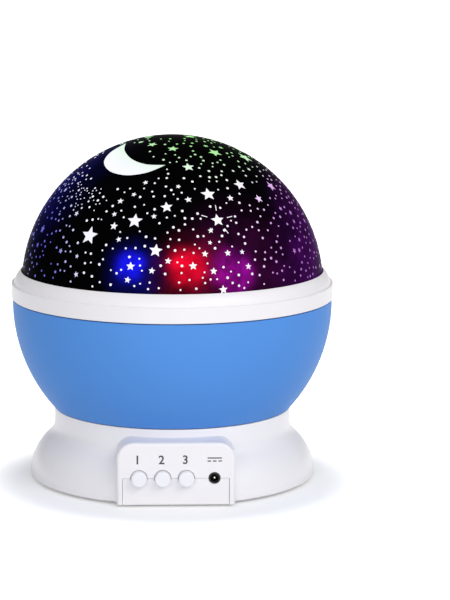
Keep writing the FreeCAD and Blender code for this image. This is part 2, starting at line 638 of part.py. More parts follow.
def bottom_cover():
    """Plate under the base with the battery bay and the upright tab of the panel."""
    body = new_body("bottom_cover")
    plate = new_sketch(body, "XY_Plane", out="cover_low")
    circle(plate, "0", "0", "base_inside - cover_gap")
    raised(body, plate, "cover_thickness")
    apron = new_sketch(body, "XY_Plane", out="cover_low")
    rectangle(apron, "-tab_half_width", "-tab_face", "tab_half_width", "panel_depth - panel_front")
    raised(body, apron, "cover_thickness")
    tab = new_sketch(body, out="tab_inside")
    rectangle(tab, "-tab_half_width", "cover_low", "tab_half_width", "control_level - seam_gap")
    raised(body, tab, "panel_wall")
    control_holes(body)
    bay = new_sketch(body, "XY_Plane", out="cover_top")
    bay_box(bay, "(bay_length / 2 + bay_wall)", "(bay_width / 2 + bay_wall)")
    raised(body, bay, "bay_top + bay_wall - cover_top")
    room = new_sketch(body, "XY_Plane")
    bay_box(room, "(bay_length / 2)", "(bay_width / 2)")
    sunk(body, room, "bay_top", ahead=True)
    seat = new_sketch(body, "XY_Plane")
    bay_box(seat, "(bay_length / 2 + door_ledge + door_gap)",
            "(bay_width / 2 + door_ledge + door_gap)")
    sunk(body, seat, "door_top + door_top_gap", ahead=True)
    pins = new_sketch(body, out="door_wide - bay_middle + door_pin_length + door_pin_gap")
    circle(pins, "door_thickness / 2 - door_half", "door_axis", "door_pin_radius + door_pin_gap")
    sunk(body, pins, "2 * (door_wide + door_pin_length + door_pin_gap)", ahead=False)
    boss = new_sketch(body, "XY_Plane", out="cover_top")
    head = new_sketch(body, "XY_Plane")
    passage = new_sketch(body, "XY_Plane")
    foot = new_sketch(body, "XY_Plane")
    case_screws = around("screw_boss_reach", "screw_boss_angle")
    circle(boss, *case_screws, "screw_boss_radius")
    circle(head, *case_screws, "case_screw_head + screw_gap")
    circle(passage, *case_screws, "case_screw_radius + screw_gap")
    circle(foot, *around("foot_reach", "foot_angle"), "foot_radius + fit_gap")
    repeated(body, [raised(body, boss, "cover_boss")], "4")
    repeated(body, [sunk(body, head, "head_seat", ahead=True)], "4")
    repeated(body, [sunk(body, passage, "boss_top + cut_over", ahead=True)], "4")
    repeated(body, [sunk(body, foot, "foot_height", ahead=True)], "4")
    pad = new_sketch(body, "XY_Plane", out="cover_top")
    motor_box(pad)
    raised(body, pad, "motor_foot")
    body.Tip = body.Group[-1]


def rubber_feet():
    """Four rubber feet, each stuck in its recess."""
    body = new_body("rubber_feet")
    foot = new_sketch(body, "XY_Plane")
    circle(foot, *around("foot_reach", "foot_angle"), "foot_radius")
    repeated(body, [raised(body, foot, "foot_height")], "4")


def screws(name, reach, angle, seat, count, size="small_screw", up=True):
    """Screws in a circle about the axis, their heads on a seat and their points up or down."""
    body = new_body(name)
    sketch = new_sketch(body, turn=angle)
    way, back = ("+", "-") if up else ("-", "+")
    tip = f"{seat} {way} {size}_length"
    outline(sketch, [
        (reach, f"{seat} {back} screw_head_height"),
        (f"{reach} + {size}_head * head_top", f"{seat} {back} screw_head_height"),
        (f"{reach} + {size}_head", f"{seat} {back} screw_head_height / 2"),
        (f"{reach} + {size}_head", seat), (f"{reach} + {size}_radius", seat),
        (f"{reach} + {size}_radius", f"{tip} {back} {size}_radius"), (reach, tip)])
    repeated(body, [turned_about(body, sketch, (reach, "0"), (reach, "deck_level"))],
             count)


def base_pieces():
    """Screws of the base and the washer under the bowl."""
    screws("base_screws", "screw_boss_reach", "screw_boss_angle", "head_seat", "4", "case_screw")
    screws("lamp_post_screws", "sleeve_screw_reach", "90", "post_flange_top", "3", up=False)
    washer = new_body("thrust_washer")
    ring = new_sketch(washer)
    rectangle(ring, "hub_bore", "deck_level", "hub_radius", "washer_top")
    turned(washer, ring)


# Controls and power

def control_board():
    """Upright board behind the panel, on two bosses."""
    body = new_body("control_board")
    outline = new_sketch(body, out="board_back")
    rectangle(outline, "-board_width / 2", "board_low", "board_width / 2",
              "board_low + board_height")
    raised(body, outline, "board_thickness")
    holes = new_sketch(body, out="board_face")
    for side in ("-", ""):
        circle(holes, side + "board_screw_reach", "board_screw_level", "passage_radius")
    sunk(body, holes, "board_thickness", ahead=False)
    drivers = []
    for side in ("-", ""):
        place = dict(x=side + "board_screw_reach", z="board_screw_level", along="-Y")
        shank = primitive("Cylinder", "board_screw_shank", y="-board_back",
                          Radius="small_screw_radius", Height="small_screw_length", **place)
        head = primitive("Cone", "board_screw_head", y="screw_head_height - board_back",
                         Radius1="small_screw_head * head_top", Radius2="small_screw_head",
                         Height="screw_head_height", **place)
        drivers.append(joined("board_screw", [shank, head]))
    grouped("control_board_screws", drivers)


def buttons():
    """Three round buttons with their collars, stems and push switches."""
    switches = []
    for letter, place in (("a", -1), ("b", 0), ("c", 1)):
        x = f"middle_button + {place} * button_pitch"
        body = new_body("button_" + letter)
        side = new_sketch(body, "YZ_Plane", out=x)
        low = "control_level"
        face = "-panel_front - button_proud"
        outline(side, [
            (face, low), ("-button_back", low), ("-button_back", f"{low} + button_collar_radius"),
            ("-collar_front", f"{low} + button_collar_radius"),
            ("-collar_front", f"{low} + button_radius"),
            (f"{face} + button_round", f"{low} + button_radius"),
            (face, f"{low} + button_radius - button_round", "button_round", LEFT)])
        turned_about(body, side, ("-panel_front", low), ("-board_face", low))
        stem_start = "-(switch_front - stem_engaged)"
        stem = primitive("Cylinder", "switch_stem_" + letter, x=x, y=stem_start, z=low, along="-Y",
                         Radius="stem_radius", Height="button_back - switch_front + stem_engaged")
        stem.Label = "switch_stem_" + letter
        block = primitive("Box", "switch_block", x=f"{x} - switch_width / 2",
                          y="-switch_front", z=f"{low} - switch_width / 2",
                          Length="switch_width", Width="switch_depth", Height="switch_width")
        bore = primitive("Cylinder", "switch_bore", x=x, y="-switch_front", z=low, along="Y",
                         Radius="stem_radius + stem_gap",
                         Height="stem_engaged + button_travel + stem_gap")
        switches.append(less("push_switch", block, [bore]))
    grouped("push_switches", switches)


def dc_jack():
    """Power socket with a round nose and a centre pin."""
    front = "-(panel_front - jack_set_back)"
    place = dict(x="jack_place", z="control_level")
    case = primitive("Box", "jack_case", x="jack_place - jack_width / 2", y="-collar_front",
                     z="control_level - jack_height / 2", Length="jack_width",
                     Width="collar_front - board_face", Height="jack_height")
    nose = primitive("Cylinder", "jack_nose", y=front, along="Y", Radius="jack_nose_radius",
                     Height="panel_front - jack_set_back - collar_front + merge_depth", **place)
    bore = primitive("Cylinder", "jack_opening", y=front, along="Y", Radius="jack_bore",
                     Height="jack_bore_depth", **place)
    less("dc_jack", joined("jack_body", [case, nose]), [bore])
    pin = primitive("Cylinder", "jack_pin_rod", y=f"{front} + pin_set_back + pin_radius", along="Y",
                    Radius="pin_radius", Height="jack_bore_depth - pin_set_back - pin_radius", **place)
    tip = primitive("Cone", "jack_pin_tip", y=f"{front} + pin_set_back", along="Y",
                    Radius1="pin_radius / 2", Radius2="pin_radius", Height="pin_radius", **place)
    joined("dc_jack_pin", [pin, tip])


def cells_and_contacts():
    """Dry cells side by side, turned about one by one, between sprung and flat contacts."""
    cells = []
    springs = []
    plates = []
    for index in range(int(value("cell_count"))):
        y = f"bay_middle + ({index} + 0.5) * cell_pitch - bay_width / 2"
        way, turn = ("", "X") if index % 2 == 0 else ("-", "-X")
        back = "-1" if way == "" else "1"
        start = f"{back} * (cell_length + cell_nub_length) / 2"
        can = primitive("Cylinder", "cell_can", x=start, y=y, z="cell_axis", along=turn,
                        Radius="cell_radius", Height="cell_length")
        nub = primitive("Cylinder", "cell_nub", x=f"{start} - ({back}) * cell_length", y=y,
                        z="cell_axis", along=turn, Radius="cell_nub_radius", Height="cell_nub_length")
        cells.append(joined("cell", [can, nub]))
        springs.append(leaf_spring(y, back))
        plates.append(leaf_spring(y, "-1" if back == "1" else "1"))
    grouped("aaa_cells", cells)
    grouped("negative_contacts", springs)
    grouped("positive_contacts", plates)


def leaf_spring(y, side):
    """Strip folded back from the bay's end wall, with its knee on the cell."""
    body = new_body("leaf")
    strip = new_sketch(body, out=f"-({y}) - contact_width / 2")
    wall = "bay_length / 2"
    knee = "(cell_length + cell_nub_length) / 2 + contact_touch"
    low = "cell_axis - contact_height / 2"
    high = "cell_axis + contact_height / 2"
    thick = "contact_thickness"
    corners = [
        (wall, low), (wall, high), (f"{wall} - {thick}", high),
        (f"{wall} - {thick}", f"{low} + 2 * {thick}"), (f"{knee} + {thick}", "cell_axis"),
        (f"{wall} - 4 * {thick}", f"{high} - {thick}"), (f"{wall} - 5 * {thick}", f"{high} - {thick}"),
        (knee, "cell_axis"), (f"{wall} - 2 * {thick}", low)]
    corners = [(f"{side} * ({x})", z) for x, z in corners]
    outline(strip, corners if side == "1" else list(reversed(corners)))
    raised(body, strip, "contact_width")
    return body


def battery_door():
    """Door under the cells, round at the edge that it swings on, with two pins."""
    wide = "2 * door_wide"
    edge = "door_thickness / 2 - door_half"
    plate = primitive("Box", "door_plate", x=edge, y="bay_middle - door_wide", z="cover_low",
                      Length=f"door_half - ({edge})", Width=wide, Height="door_thickness")
    roll = primitive("Cylinder", "door_edge", x=edge, y="bay_middle - door_wide", z="door_axis",
                     along="Y", Radius="door_thickness / 2", Height=wide)
    pins = primitive("Cylinder", "door_pins", x=edge,
                     y="bay_middle - door_wide - door_pin_length", z="door_axis", along="Y",
                     Radius="door_pin_radius", Height=f"{wide} + 2 * door_pin_length")
    grip = primitive("Cylinder", "door_grip", x="door_half - grip_inset", y="bay_middle", z="cover_low",
                     Radius="grip_radius", Height="door_thickness / 2")
    less("battery_door", joined("door_body", [plate, roll, pins]), [grip])


# Drive

def motor_box(sketch):
    """Draw the motor's outline about the shaft's place."""
    rectangle(sketch, "-motor_width / 2", "shaft_reach - motor_depth / 2", "motor_width / 2",
              "shaft_reach + motor_depth / 2")


def motor():
    """Small gear motor: flat-sided can, plated gearbox, and the bracket under the deck."""
    can = new_body("motor_can")
    side = new_sketch(can, "XY_Plane", out="motor_low")
    half, deep, corner = "motor_width / 2", "(motor_depth / 2)", "motor_round"
    low, high = f"shaft_reach - {deep}", f"shaft_reach + {deep}"
    outline(side, [
        (f"{half} - {corner}", low), (half, f"{low} + {corner}", corner, LEFT),
        (half, f"{high} - {corner}"), (f"{half} - {corner}", high, corner, LEFT),
        (f"{corner} - {half}", high), (f"-{half}", f"{high} - {corner}", corner, LEFT),
        (f"-{half}", f"{low} + {corner}"), (f"{corner} - {half}", low, corner, LEFT)])
    raised(can, side, "motor_length")
    box = new_body("gearbox")
    plates = new_sketch(box, "XY_Plane", out="motor_top")
    motor_box(plates)
    raised(box, plates, "deck_low - motor_top")
    for side_sign in ("-1", "1"):
        gap = new_sketch(box, out="-shaft_reach - motor_depth / 2 - cut_over")
        rectangle(gap, f"{side_sign} * motor_width / 2 - gearbox_window", "motor_top + gearbox_plate",
                  f"{side_sign} * motor_width / 2 + gearbox_window", "deck_low - gearbox_plate")
        sunk(box, gap, "motor_depth + 2 * cut_over", ahead=True)
    bore = new_sketch(box, "XY_Plane", out="deck_low")
    circle(bore, "0", "shaft_reach", "shaft_radius + shaft_gap")
    sunk(box, bore, "deck_low - motor_top - gearbox_plate", ahead=False)
    clamp = new_body("motor_bracket")
    block = new_sketch(clamp, "XY_Plane", out="clamp_top - clamp_height")
    wide, thick = "(motor_width / 2 + clamp_wall)", "(motor_depth / 2 + clamp_wall)"
    rectangle(block, f"-{wide}", f"shaft_reach - {thick}", wide, f"shaft_reach + {thick}")
    raised(clamp, block, "clamp_height")
    ears = new_sketch(clamp, "XY_Plane", out="clamp_top - clamp_wall")
    rectangle(ears, f"-{wide} - clamp_ear", "shaft_reach - clamp_ear_half",
              f"{wide} + clamp_ear", "shaft_reach + clamp_ear_half")
    raised(clamp, ears, "clamp_wall")
    room = new_sketch(clamp, "XY_Plane", out="0")
    rectangle(room, "-motor_width / 2 - clamp_fit", "shaft_reach - motor_depth / 2 - clamp_fit",
              "motor_width / 2 + clamp_fit", "shaft_reach + motor_depth / 2 + clamp_fit")
    sunk(clamp, room, "deck_level", ahead=True)
    holes = new_sketch(clamp, "XY_Plane", out="0")
    drivers = []
    for sign in ("-", ""):
        circle(holes, sign + "clamp_screw", "shaft_reach", "passage_radius")
        place = dict(x=sign + "clamp_screw", y="shaft_reach")
        shank = primitive("Cylinder", "bracket_screw_shank", z="clamp_top - clamp_wall",
                          Radius="small_screw_radius", Height="small_screw_length", **place)
        head = primitive("Cone", "bracket_screw_head",
                         z="clamp_top - clamp_wall - screw_head_height",
                         Radius1="small_screw_head * head_top", Radius2="small_screw_head",
                         Height="screw_head_height", **place)
        drivers.append(joined("bracket_screw", [shank, head]))
    sunk(clamp, holes, "deck_level", ahead=True)
    grouped("motor_bracket_screws", drivers)


def gear_outline(teeth, inner, outer, half_tooth):
    """Outline of teeth about the origin. A tooth is given by its half angle at a radius."""
    points = []
    radii = [inner + (outer - inner) * share for share in (0, 0.25, 0.6, 1)]
    flank = [(radius, -half_tooth(radius)) for radius in radii]
    flank += [(radius, half_tooth(radius)) for radius in reversed(radii)]
    for tooth in range(teeth):
        middle = 2 * math.pi * tooth / teeth
        for radius, aside in flank:
            angle = middle + aside
            points.append(FreeCAD.Vector(radius * math.cos(angle), radius * math.sin(angle), 0))
    return Part.makePolygon(points + points[:1])


def involute(angle):
    """Involute function of a pressure angle."""
    return math.tan(angle) - angle


def half_angle(teeth, backlash):
    """Half angle of an involute tooth at a radius, less half the backlash."""
    pressure = math.radians(value("pressure_angle"))
    pitch = value("gear_module") * teeth / 2
    base = pitch * math.cos(pressure)

    def at(radius):
        here = math.acos(min(base / radius, 1))
        return math.pi / 2 / teeth + backlash / 2 / pitch + involute(pressure) - involute(here)
    return at


def gears():
    """Ring gear under the bowl's floor and the pinion on the motor's shaft."""
    module, teeth = value("gear_module"), int(value("gear_teeth"))
    root, tip = value("gear_root"), module * (teeth / 2 - value("gear_addendum"))
    play = value("gear_backlash")
    low, face = value("gear_low"), value("gear_face")
    spaces = gear_outline(teeth, tip, root, half_angle(teeth, play / 2))
    disc = Part.makeCylinder(value("gear_outside"), face)
    inside = Part.Face(spaces).extrude(FreeCAD.Vector(0, 0, face))
    ring = disc.cut(inside)
    reach, deep = value("gear_screw_reach"), value("screw_head_height")
    for number in range(4):
        angle = math.pi / 4 + number * math.pi / 2
        place = FreeCAD.Vector(reach * math.cos(angle), reach * math.sin(angle), 0)
        hole = Part.makeCylinder(value("passage_radius"), face, place)
        sink = Part.makeCylinder(value("small_screw_head + screw_gap"), deep, place)
        ring = ring.cut(hole.fuse(sink))
    keep("ring_gear", ring, FreeCAD.Vector(0, 0, low))
    teeth = int(value("pinion_teeth"))
    tip = module * (teeth / 2 + value("pinion_addendum"))
    root = module * (teeth / 2 - value("gear_dedendum"))
    profile = gear_outline(teeth, root, tip, half_angle(teeth, -play / 2))
    pinion = Part.Face(profile).extrude(FreeCAD.Vector(0, 0, value("pinion_top - gear_low")))
    bore = Part.makeCylinder(value("shaft_radius"), face)
    keep("drive_pinion", pinion.cut(bore), FreeCAD.Vector(0, value("shaft_reach"), low))
    shaft_low = "motor_top + gearbox_plate + shaft_end_gap"
    shaft = primitive("Cylinder", "motor_shaft", y="shaft_reach", z=shaft_low,
                      Radius="shaft_radius", Height=f"pinion_top - ({shaft_low})")
    shaft.Label = "motor_shaft"


def keep(name, shape, place):
    """Keep a shape that was worked out in numbers as a sub-part, and put it in place."""
    thing = document.addObject("Part::Feature", name)
    thing.Label = name
    thing.Shape = shape
    thing.Placement = FreeCAD.Placement(place, FreeCAD.Rotation())
    return thing


# Turning bowl

def bowl():
    """Round bowl with its floor, hub, posts and a collar with three bayonet slots."""
    body = new_body("bowl")
    inner = "(bowl_radius - bowl_wall)"

    def outside(level):
        return ball_edge("bowl_radius", "bowl_centre", level)

    def inside(level):
        return ball_edge(inner, "bowl_centre", level)
    collar_in = "(collar_radius - collar_wall)"
    root_low = "(bowl_shoulder - collar_root - collar_slope)"
    profile = new_sketch(body)
    outline(profile, [
        (outside("bowl_rim"), "bowl_rim"),
        (outside("bowl_shoulder"), "bowl_shoulder", "bowl_radius", LEFT),
        ("collar_radius", "bowl_shoulder"), ("collar_radius", "dome_seat"),
        (collar_in, "dome_seat"), (collar_in, "bowl_shoulder - collar_root"),
        (inside(root_low), root_low),
        (inside("floor_top"), "floor_top", inner, RIGHT),
        ("hub_bore", "floor_top"), ("hub_bore", "washer_top"), ("hub_radius", "washer_top"),
        ("hub_radius", "floor_level"), (inside("floor_level"), "floor_level"),
        (inside("bowl_rim"), "bowl_rim", inner, RIGHT)])
    turned(body, profile)
    post = new_sketch(body, "XY_Plane", out="floor_top - merge_depth")
    circle(post, "reflector_post_reach", "0", "reflector_post_radius")
    repeated(body, [raised(body, post, "reflector_level - floor_top + merge_depth")], "4")
    pilot = new_sketch(body, "XY_Plane", out="reflector_level")
    circle(pilot, "reflector_post_reach", "0", "pilot_radius")
    repeated(body, [sunk(body, pilot, "small_screw_length", ahead=False)], "4")
    gear_screws = around("gear_screw_reach", "45")
    boss = new_sketch(body, "XY_Plane", out="floor_top - merge_depth")
    circle(boss, *gear_screws, "gear_boss_radius")
    repeated(body, [raised(body, boss, "gear_boss_height + merge_depth")], "4")
    gear_pilot = new_sketch(body, "XY_Plane", out="floor_level - cut_over")
    circle(gear_pilot, *gear_screws, "pilot_radius")
    deep = "small_screw_length - gear_face + screw_head_height + cut_over + merge_depth"
    repeated(body, [sunk(body, gear_pilot, deep, ahead=True)], "4")
    low, high = "lug_level - lug_gap", "lug_level + lug_height + lug_gap"
    run = new_sketch(body, turn="lug_start + lug_turn / 2")
    rectangle(run, f"{collar_in} - cut_over", low, "ring_bore", high)
    run_cut = turned(body, run, "lug_angle + lug_turn + 2 * lug_side_gap", cut=True)
    entry = new_sketch(body, turn="lug_start + lug_turn")
    rectangle(entry, f"{collar_in} - cut_over", low, "ring_bore", "dome_seat + cut_over")
    entry_cut = turned(body, entry, "lug_angle + 2 * lug_side_gap", cut=True)
    repeated(body, [run_cut, entry_cut], "lug_count")


def reflector_plate():
    """White plate in the bowl, round the lamp post."""
    body = new_body("reflector_plate")
    disc = new_sketch(body)
    top = "reflector_level + reflector_thickness"
    lip = "reflector_hole + reflector_lip_width"
    lip_top = f"{top} + reflector_lip_height"
    outline(disc, [("reflector_hole", "reflector_level"), ("reflector_radius", "reflector_level"),
                   ("reflector_radius", top), (lip, top), (lip, lip_top),
                   ("reflector_hole", lip_top)])
    turned(body, disc)
    hole = new_sketch(body, "XY_Plane")
    circle(hole, "reflector_post_reach", "0", "passage_radius")
    repeated(body, [sunk(body, hole, f"{top} + cut_over", ahead=True)], "4")


def turret_screws():
    """Screws of the white plate and of the ring gear."""
    screws("reflector_screws", "reflector_post_reach", "0",
           "(reflector_level + reflector_thickness)", "4", up=False)
    screws("ring_gear_screws", "gear_screw_reach", "45", "(gear_low + screw_head_height)", "4")


# Lamp post

def lamp_post():
    """Post that holds the lamps still, with the flange that keeps the bowl down."""
    body = new_body("lamp_post")
    profile = new_sketch(body)
    head_low = "(post_top - post_head_thickness)"
    outline(profile, [
        ("post_radius - post_wall", "post_low"), ("post_flange_radius", "post_low"),
        ("post_flange_radius", "post_flange_top"), ("post_radius", "post_flange_top"),
        ("post_radius", f"{head_low} - (post_head_radius - post_radius)"),
        ("post_head_radius", head_low), ("post_head_radius", "post_top"),
        ("post_radius - post_wall", "post_top")])
    turned(body, profile)
    hole = new_sketch(body, "XY_Plane")
    circle(hole, "0", "sleeve_screw_reach", "passage_radius")
    repeated(body, [sunk(body, hole, "post_flange_top + cut_over", ahead=True)], "3")
    pilot = new_sketch(body, "XY_Plane", out="post_top")
    circle(pilot, *around("lamp_screw_reach", "45"), "pilot_radius")
    repeated(body, [sunk(body, pilot, "small_screw_length - board_thickness", ahead=False)], "2")


def lamp_board():
    """Round board on the post with one lamp of each colour."""
    body = new_body("lamp_board")
    disc = new_sketch(body, "XY_Plane", out="post_top")
    circle(disc, "0", "0", "lamp_board_radius")
    raised(body, disc, "board_thickness")
    hole = new_sketch(body, "XY_Plane")
    circle(hole, *around("lamp_screw_reach", "45"), "passage_radius")
    repeated(body, [sunk(body, hole, "lamp_board_top + cut_over", ahead=True)], "2")
    screws("lamp_board_screws", "lamp_screw_reach", "45", "lamp_board_top", "2", up=False)
    for number, colour in enumerate(("white", "red", "green", "blue")):
        place = around("lamp_reach", str(number * QUARTER_TURN))
        lamp = new_body("lamp_" + colour)
        half = new_sketch(lamp)
        outline(half, [
            ("0", "0"), ("lamp_flange_radius", "0"), ("lamp_flange_radius", "lamp_flange_thickness"),
            ("lamp_radius", "lamp_flange_thickness"), ("lamp_radius", "lamp_height - lamp_radius"),
            ("0", "lamp_height", "lamp_radius", LEFT)])
        turned(lamp, half)
        lamp.Placement.Base = FreeCAD.Vector(value(place[0]), value(place[1]), value("lamp_board_top"))
        bind(lamp, Placement__Base__x=place[0], Placement__Base__y=place[1],
             Placement__Base__z="lamp_board_top")


# Dome and its ring

def dome_ring():
    """White ring that clamps the dome and locks on the bowl with three lugs."""
    body = new_body("dome_ring")
    profile = new_sketch(body)
    outline(profile, [
        ("ring_bore", "ring_low"), ("ring_radius - ring_edge", "ring_low"),
        ("ring_radius", "ring_low + ring_edge", "ring_edge", LEFT),
        ("ring_radius", "ring_band_top - ring_edge"),
        ("ring_radius - ring_edge", "ring_band_top", "ring_edge", LEFT),
        ("ring_radius - ring_step", "ring_band_top"),
        ("ring_lip_bore + ring_lip", "ring_top", "ring_slope", LEFT),
        ("ring_lip_bore", "ring_top"), ("ring_lip_bore", "ring_shoulder"), ("ring_bore", "ring_shoulder")])
    turned(body, profile)
    lug = new_sketch(body, turn="lug_start")
    rectangle(lug, "ring_bore - lug_depth", "lug_level", "ring_bore + merge_depth",
              "lug_level + lug_height")
    repeated(body, [turned(body, lug, "lug_angle")], "lug_count")


def star_dome():
    """Dome with the flange that its ring holds."""
    body = new_body("star_dome")
    inner = "(dome_radius - dome_wall)"
    profile = new_sketch(body)
    outline(profile, [
        (ball_edge(inner, "dome_centre", "dome_seat"), "dome_seat", inner, RIGHT),
        ("collar_radius", "dome_seat"), ("collar_radius", "ring_shoulder"),
        (ball_edge("dome_radius", "dome_centre", "ring_shoulder"), "ring_shoulder"),
        ("0", "dome_centre + dome_radius", "dome_radius", LEFT),
        ("0", f"dome_centre + {inner}")])
    turned(body, profile)


NODES = (
    "base_shell", "bottom_cover", "rubber_feet", "base_screws", "lamp_post_screws",
    "thrust_washer", "control_board", "control_board_screws", "push_switches",
    "button_a", "button_b", "button_c", "switch_stem_a", "switch_stem_b", "switch_stem_c",
    "dc_jack", "dc_jack_pin", "aaa_cells", "negative_contacts", "positive_contacts",
    "battery_door", "motor_can", "gearbox", "motor_bracket", "motor_bracket_screws",
    "motor_shaft", "drive_pinion", "ring_gear", "ring_gear_screws", "bowl", "reflector_plate",
    "reflector_screws", "lamp_post", "lamp_board", "lamp_board_screws", "lamp_white",
    "lamp_red", "lamp_green", "lamp_blue", "dome_ring", "star_dome",
)


def main():
    """Build the sub-parts, check them and write one file for each."""
    for build in (base_shell, bottom_cover, rubber_feet, base_pieces, control_board, buttons,
                  dc_jack, cells_and_contacts, battery_door, motor, gears, bowl,
                  reflector_plate, turret_screws, lamp_post, lamp_board, dome_ring, star_dome):
        build()
    document.recompute()
    failed = [thing.Label for thing in document.Objects
              if "Invalid" in thing.State or "Error" in thing.State]
    parts = {name: document.getObjectsByLabel(name)[0] for name in NODES}
    failed += [name for name, part in parts.items()
               if part.Shape.isNull() or not part.Shape.isValid() or part.Shape.Volume <= 0]
    if failed:
        raise RuntimeError("these did not build: " + ", ".join(failed))
    os.makedirs("parts", exist_ok=True)
    for name, part in parts.items():
        part.Shape.exportStep(f"parts/{name}.step")
        box = part.Shape.BoundBox
        print(f"{name}: {len(part.Shape.Solids)} solids, {part.Shape.Volume:.1f} mm3, "
              f"z {box.ZMin:.2f} to {box.ZMax:.2f}")


main()
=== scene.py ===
import json
import math
import random

import bmesh
import bpy
from mathutils import Matrix, Vector


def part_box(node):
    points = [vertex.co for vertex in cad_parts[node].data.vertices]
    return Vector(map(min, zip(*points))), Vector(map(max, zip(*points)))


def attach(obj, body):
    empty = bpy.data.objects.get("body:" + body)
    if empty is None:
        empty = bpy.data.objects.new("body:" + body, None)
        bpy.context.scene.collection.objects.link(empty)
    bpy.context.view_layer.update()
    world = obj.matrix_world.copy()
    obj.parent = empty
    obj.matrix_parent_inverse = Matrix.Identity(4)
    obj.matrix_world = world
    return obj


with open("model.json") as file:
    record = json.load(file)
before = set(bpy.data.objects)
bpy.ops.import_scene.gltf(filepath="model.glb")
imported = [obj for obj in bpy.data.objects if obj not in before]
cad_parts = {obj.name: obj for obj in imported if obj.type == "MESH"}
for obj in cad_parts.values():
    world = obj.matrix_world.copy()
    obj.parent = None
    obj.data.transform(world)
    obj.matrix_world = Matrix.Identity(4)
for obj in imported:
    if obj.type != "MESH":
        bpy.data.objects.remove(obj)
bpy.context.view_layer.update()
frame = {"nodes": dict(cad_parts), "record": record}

# Star night light projector: finishes, star windows, panel marks, camera and lights.
# The frame is in metres, with the panel towards -Y and the turning axis on Z.
MM = 0.001

# Photograph: its frame, and the camera that it was taken with.
PHOTO_WIDTH, PHOTO_HEIGHT = 450, 600
FOCAL_PIXELS = 2502.7
AXIS_COLUMN = 172.3
CAMERA_DISTANCE = 1000 * MM
CAMERA_LEVEL = 246.4 * MM
CAMERA_PITCH = math.radians(9.91)
CAMERA_TURN = math.radians(-1.44)
SENSOR = 36.0

# Dome: the sphere that the windows lie on.
DOME_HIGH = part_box("star_dome")[1]
DOME_RADIUS = 61.0 * MM
DOME_CENTRE = Vector((0, 0, DOME_HIGH[2] - DOME_RADIUS))
RING_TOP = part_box("dome_ring")[1][2]
PANEL_FACE = -57.0 * MM

# Dry cells: the side of the first one, the step from one to the next, and where the band starts.
CELLS_START = -23 * MM
CELL_STEP = 11 * MM
BAND_START = 11 * MM

# Lamplight behind the film: column and row in the photograph, reach in mm, colour, strength.
FILM_GLOWS = (
    (55, 178, 46, "#080560", 0.6), (130, 266, 9, "#1616F8", 1.3), (134, 270, 17, "#0A0A70", 0.9),
    (189, 268, 12, "#F00420", 1.25), (194, 272, 22, "#6E0624", 0.8),
    (233, 272, 13, "#A00AA0", 1.2), (244, 266, 38, "#3C0638", 0.55),
)

# Colour of the lit windows from the dome's left side to its right: share of the way, colour.
WINDOW_STOPS = (
    (0.02, "#2A20A8"), (0.11, "#5450D0"), (0.22, "#F4F4FF"), (0.64, "#FFFFFF"),
    (0.74, "#F8E8FF"), (0.81, "#D89CE8"), (0.88, "#AC62C2"), (0.99, "#6A2C80"),
)
GREEN_MIDDLE = (196, 138)

# Plain numbers over the buttons, in mm: name, number, and its middle in X.
BUTTON_MARKS = (("mark_1", "1", -14.95), ("mark_2", "2", -5.6), ("mark_3", "3", 3.6))
MARK_LEVEL, MARK_HEIGHT = 18.9, 3.5
# Direct current mark over the socket, in mm: a line over three dashes, as left, right, low, high.
POWER_BARS = ((12.2, 17.8, 19.3, 19.75), (12.2, 13.6, 18.1, 18.55), (14.3, 15.7, 18.1, 18.55),
              (16.4, 17.8, 18.1, 18.55))
INK_PROUD, INK_SINK = 0.03 * MM, 0.05 * MM

# Lights: name, place and size in metres, power in watts, and the height that they look at.
SOFT_BOXES = (("key_light", (0.9, -1.1, 1.1), 1.0, 10), ("fill_light", (-0.2, -1.5, 0.4), 1.2, 9))
LIT_HEIGHT = 70 * MM
WORLD_LEVEL = 0.52

# Floor: its glow near the lamp, and the middle and reach of the shadow that it keeps.
FLOOR_SIZE = 14
FLOOR_LIFT = 0.24
SHADOW_MIDDLE = -12 * MM
SHADOW_INSIDE, SHADOW_OUTSIDE = 60 * MM, 92 * MM


def linear(code):
    """Turn an sRGB hex colour into linear RGBA."""
    parts = [int(code[i:i + 2], 16) / 255 for i in (1, 3, 5)]
    return [c / 12.92 if c <= 0.04045 else ((c + 0.055) / 1.055) ** 2.4 for c in parts] + [1.0]


def new_material(name):
    """Start a material and return it with its node tree and its shader."""
    material = bpy.data.materials.new(name)
    material.use_nodes = True
    return material, material.node_tree, material.node_tree.nodes["Principled BSDF"]


def add(tree, kind, settings=None, **inputs):
    """Add a node, set its properties, and set or link its inputs."""
    node = tree.nodes.new("ShaderNode" + kind)
    for name, setting in (settings or {}).items():
        setattr(node, name, setting)
    for name, source in inputs.items():
        key = int(name[1:]) if name[0] == "i" and name[1:].isdigit() else name.replace("_", " ")
        if isinstance(source, bpy.types.NodeSocket):
            tree.links.new(source, node.inputs[key])
        else:
            node.inputs[key].default_value = source
    return node


# Finishes

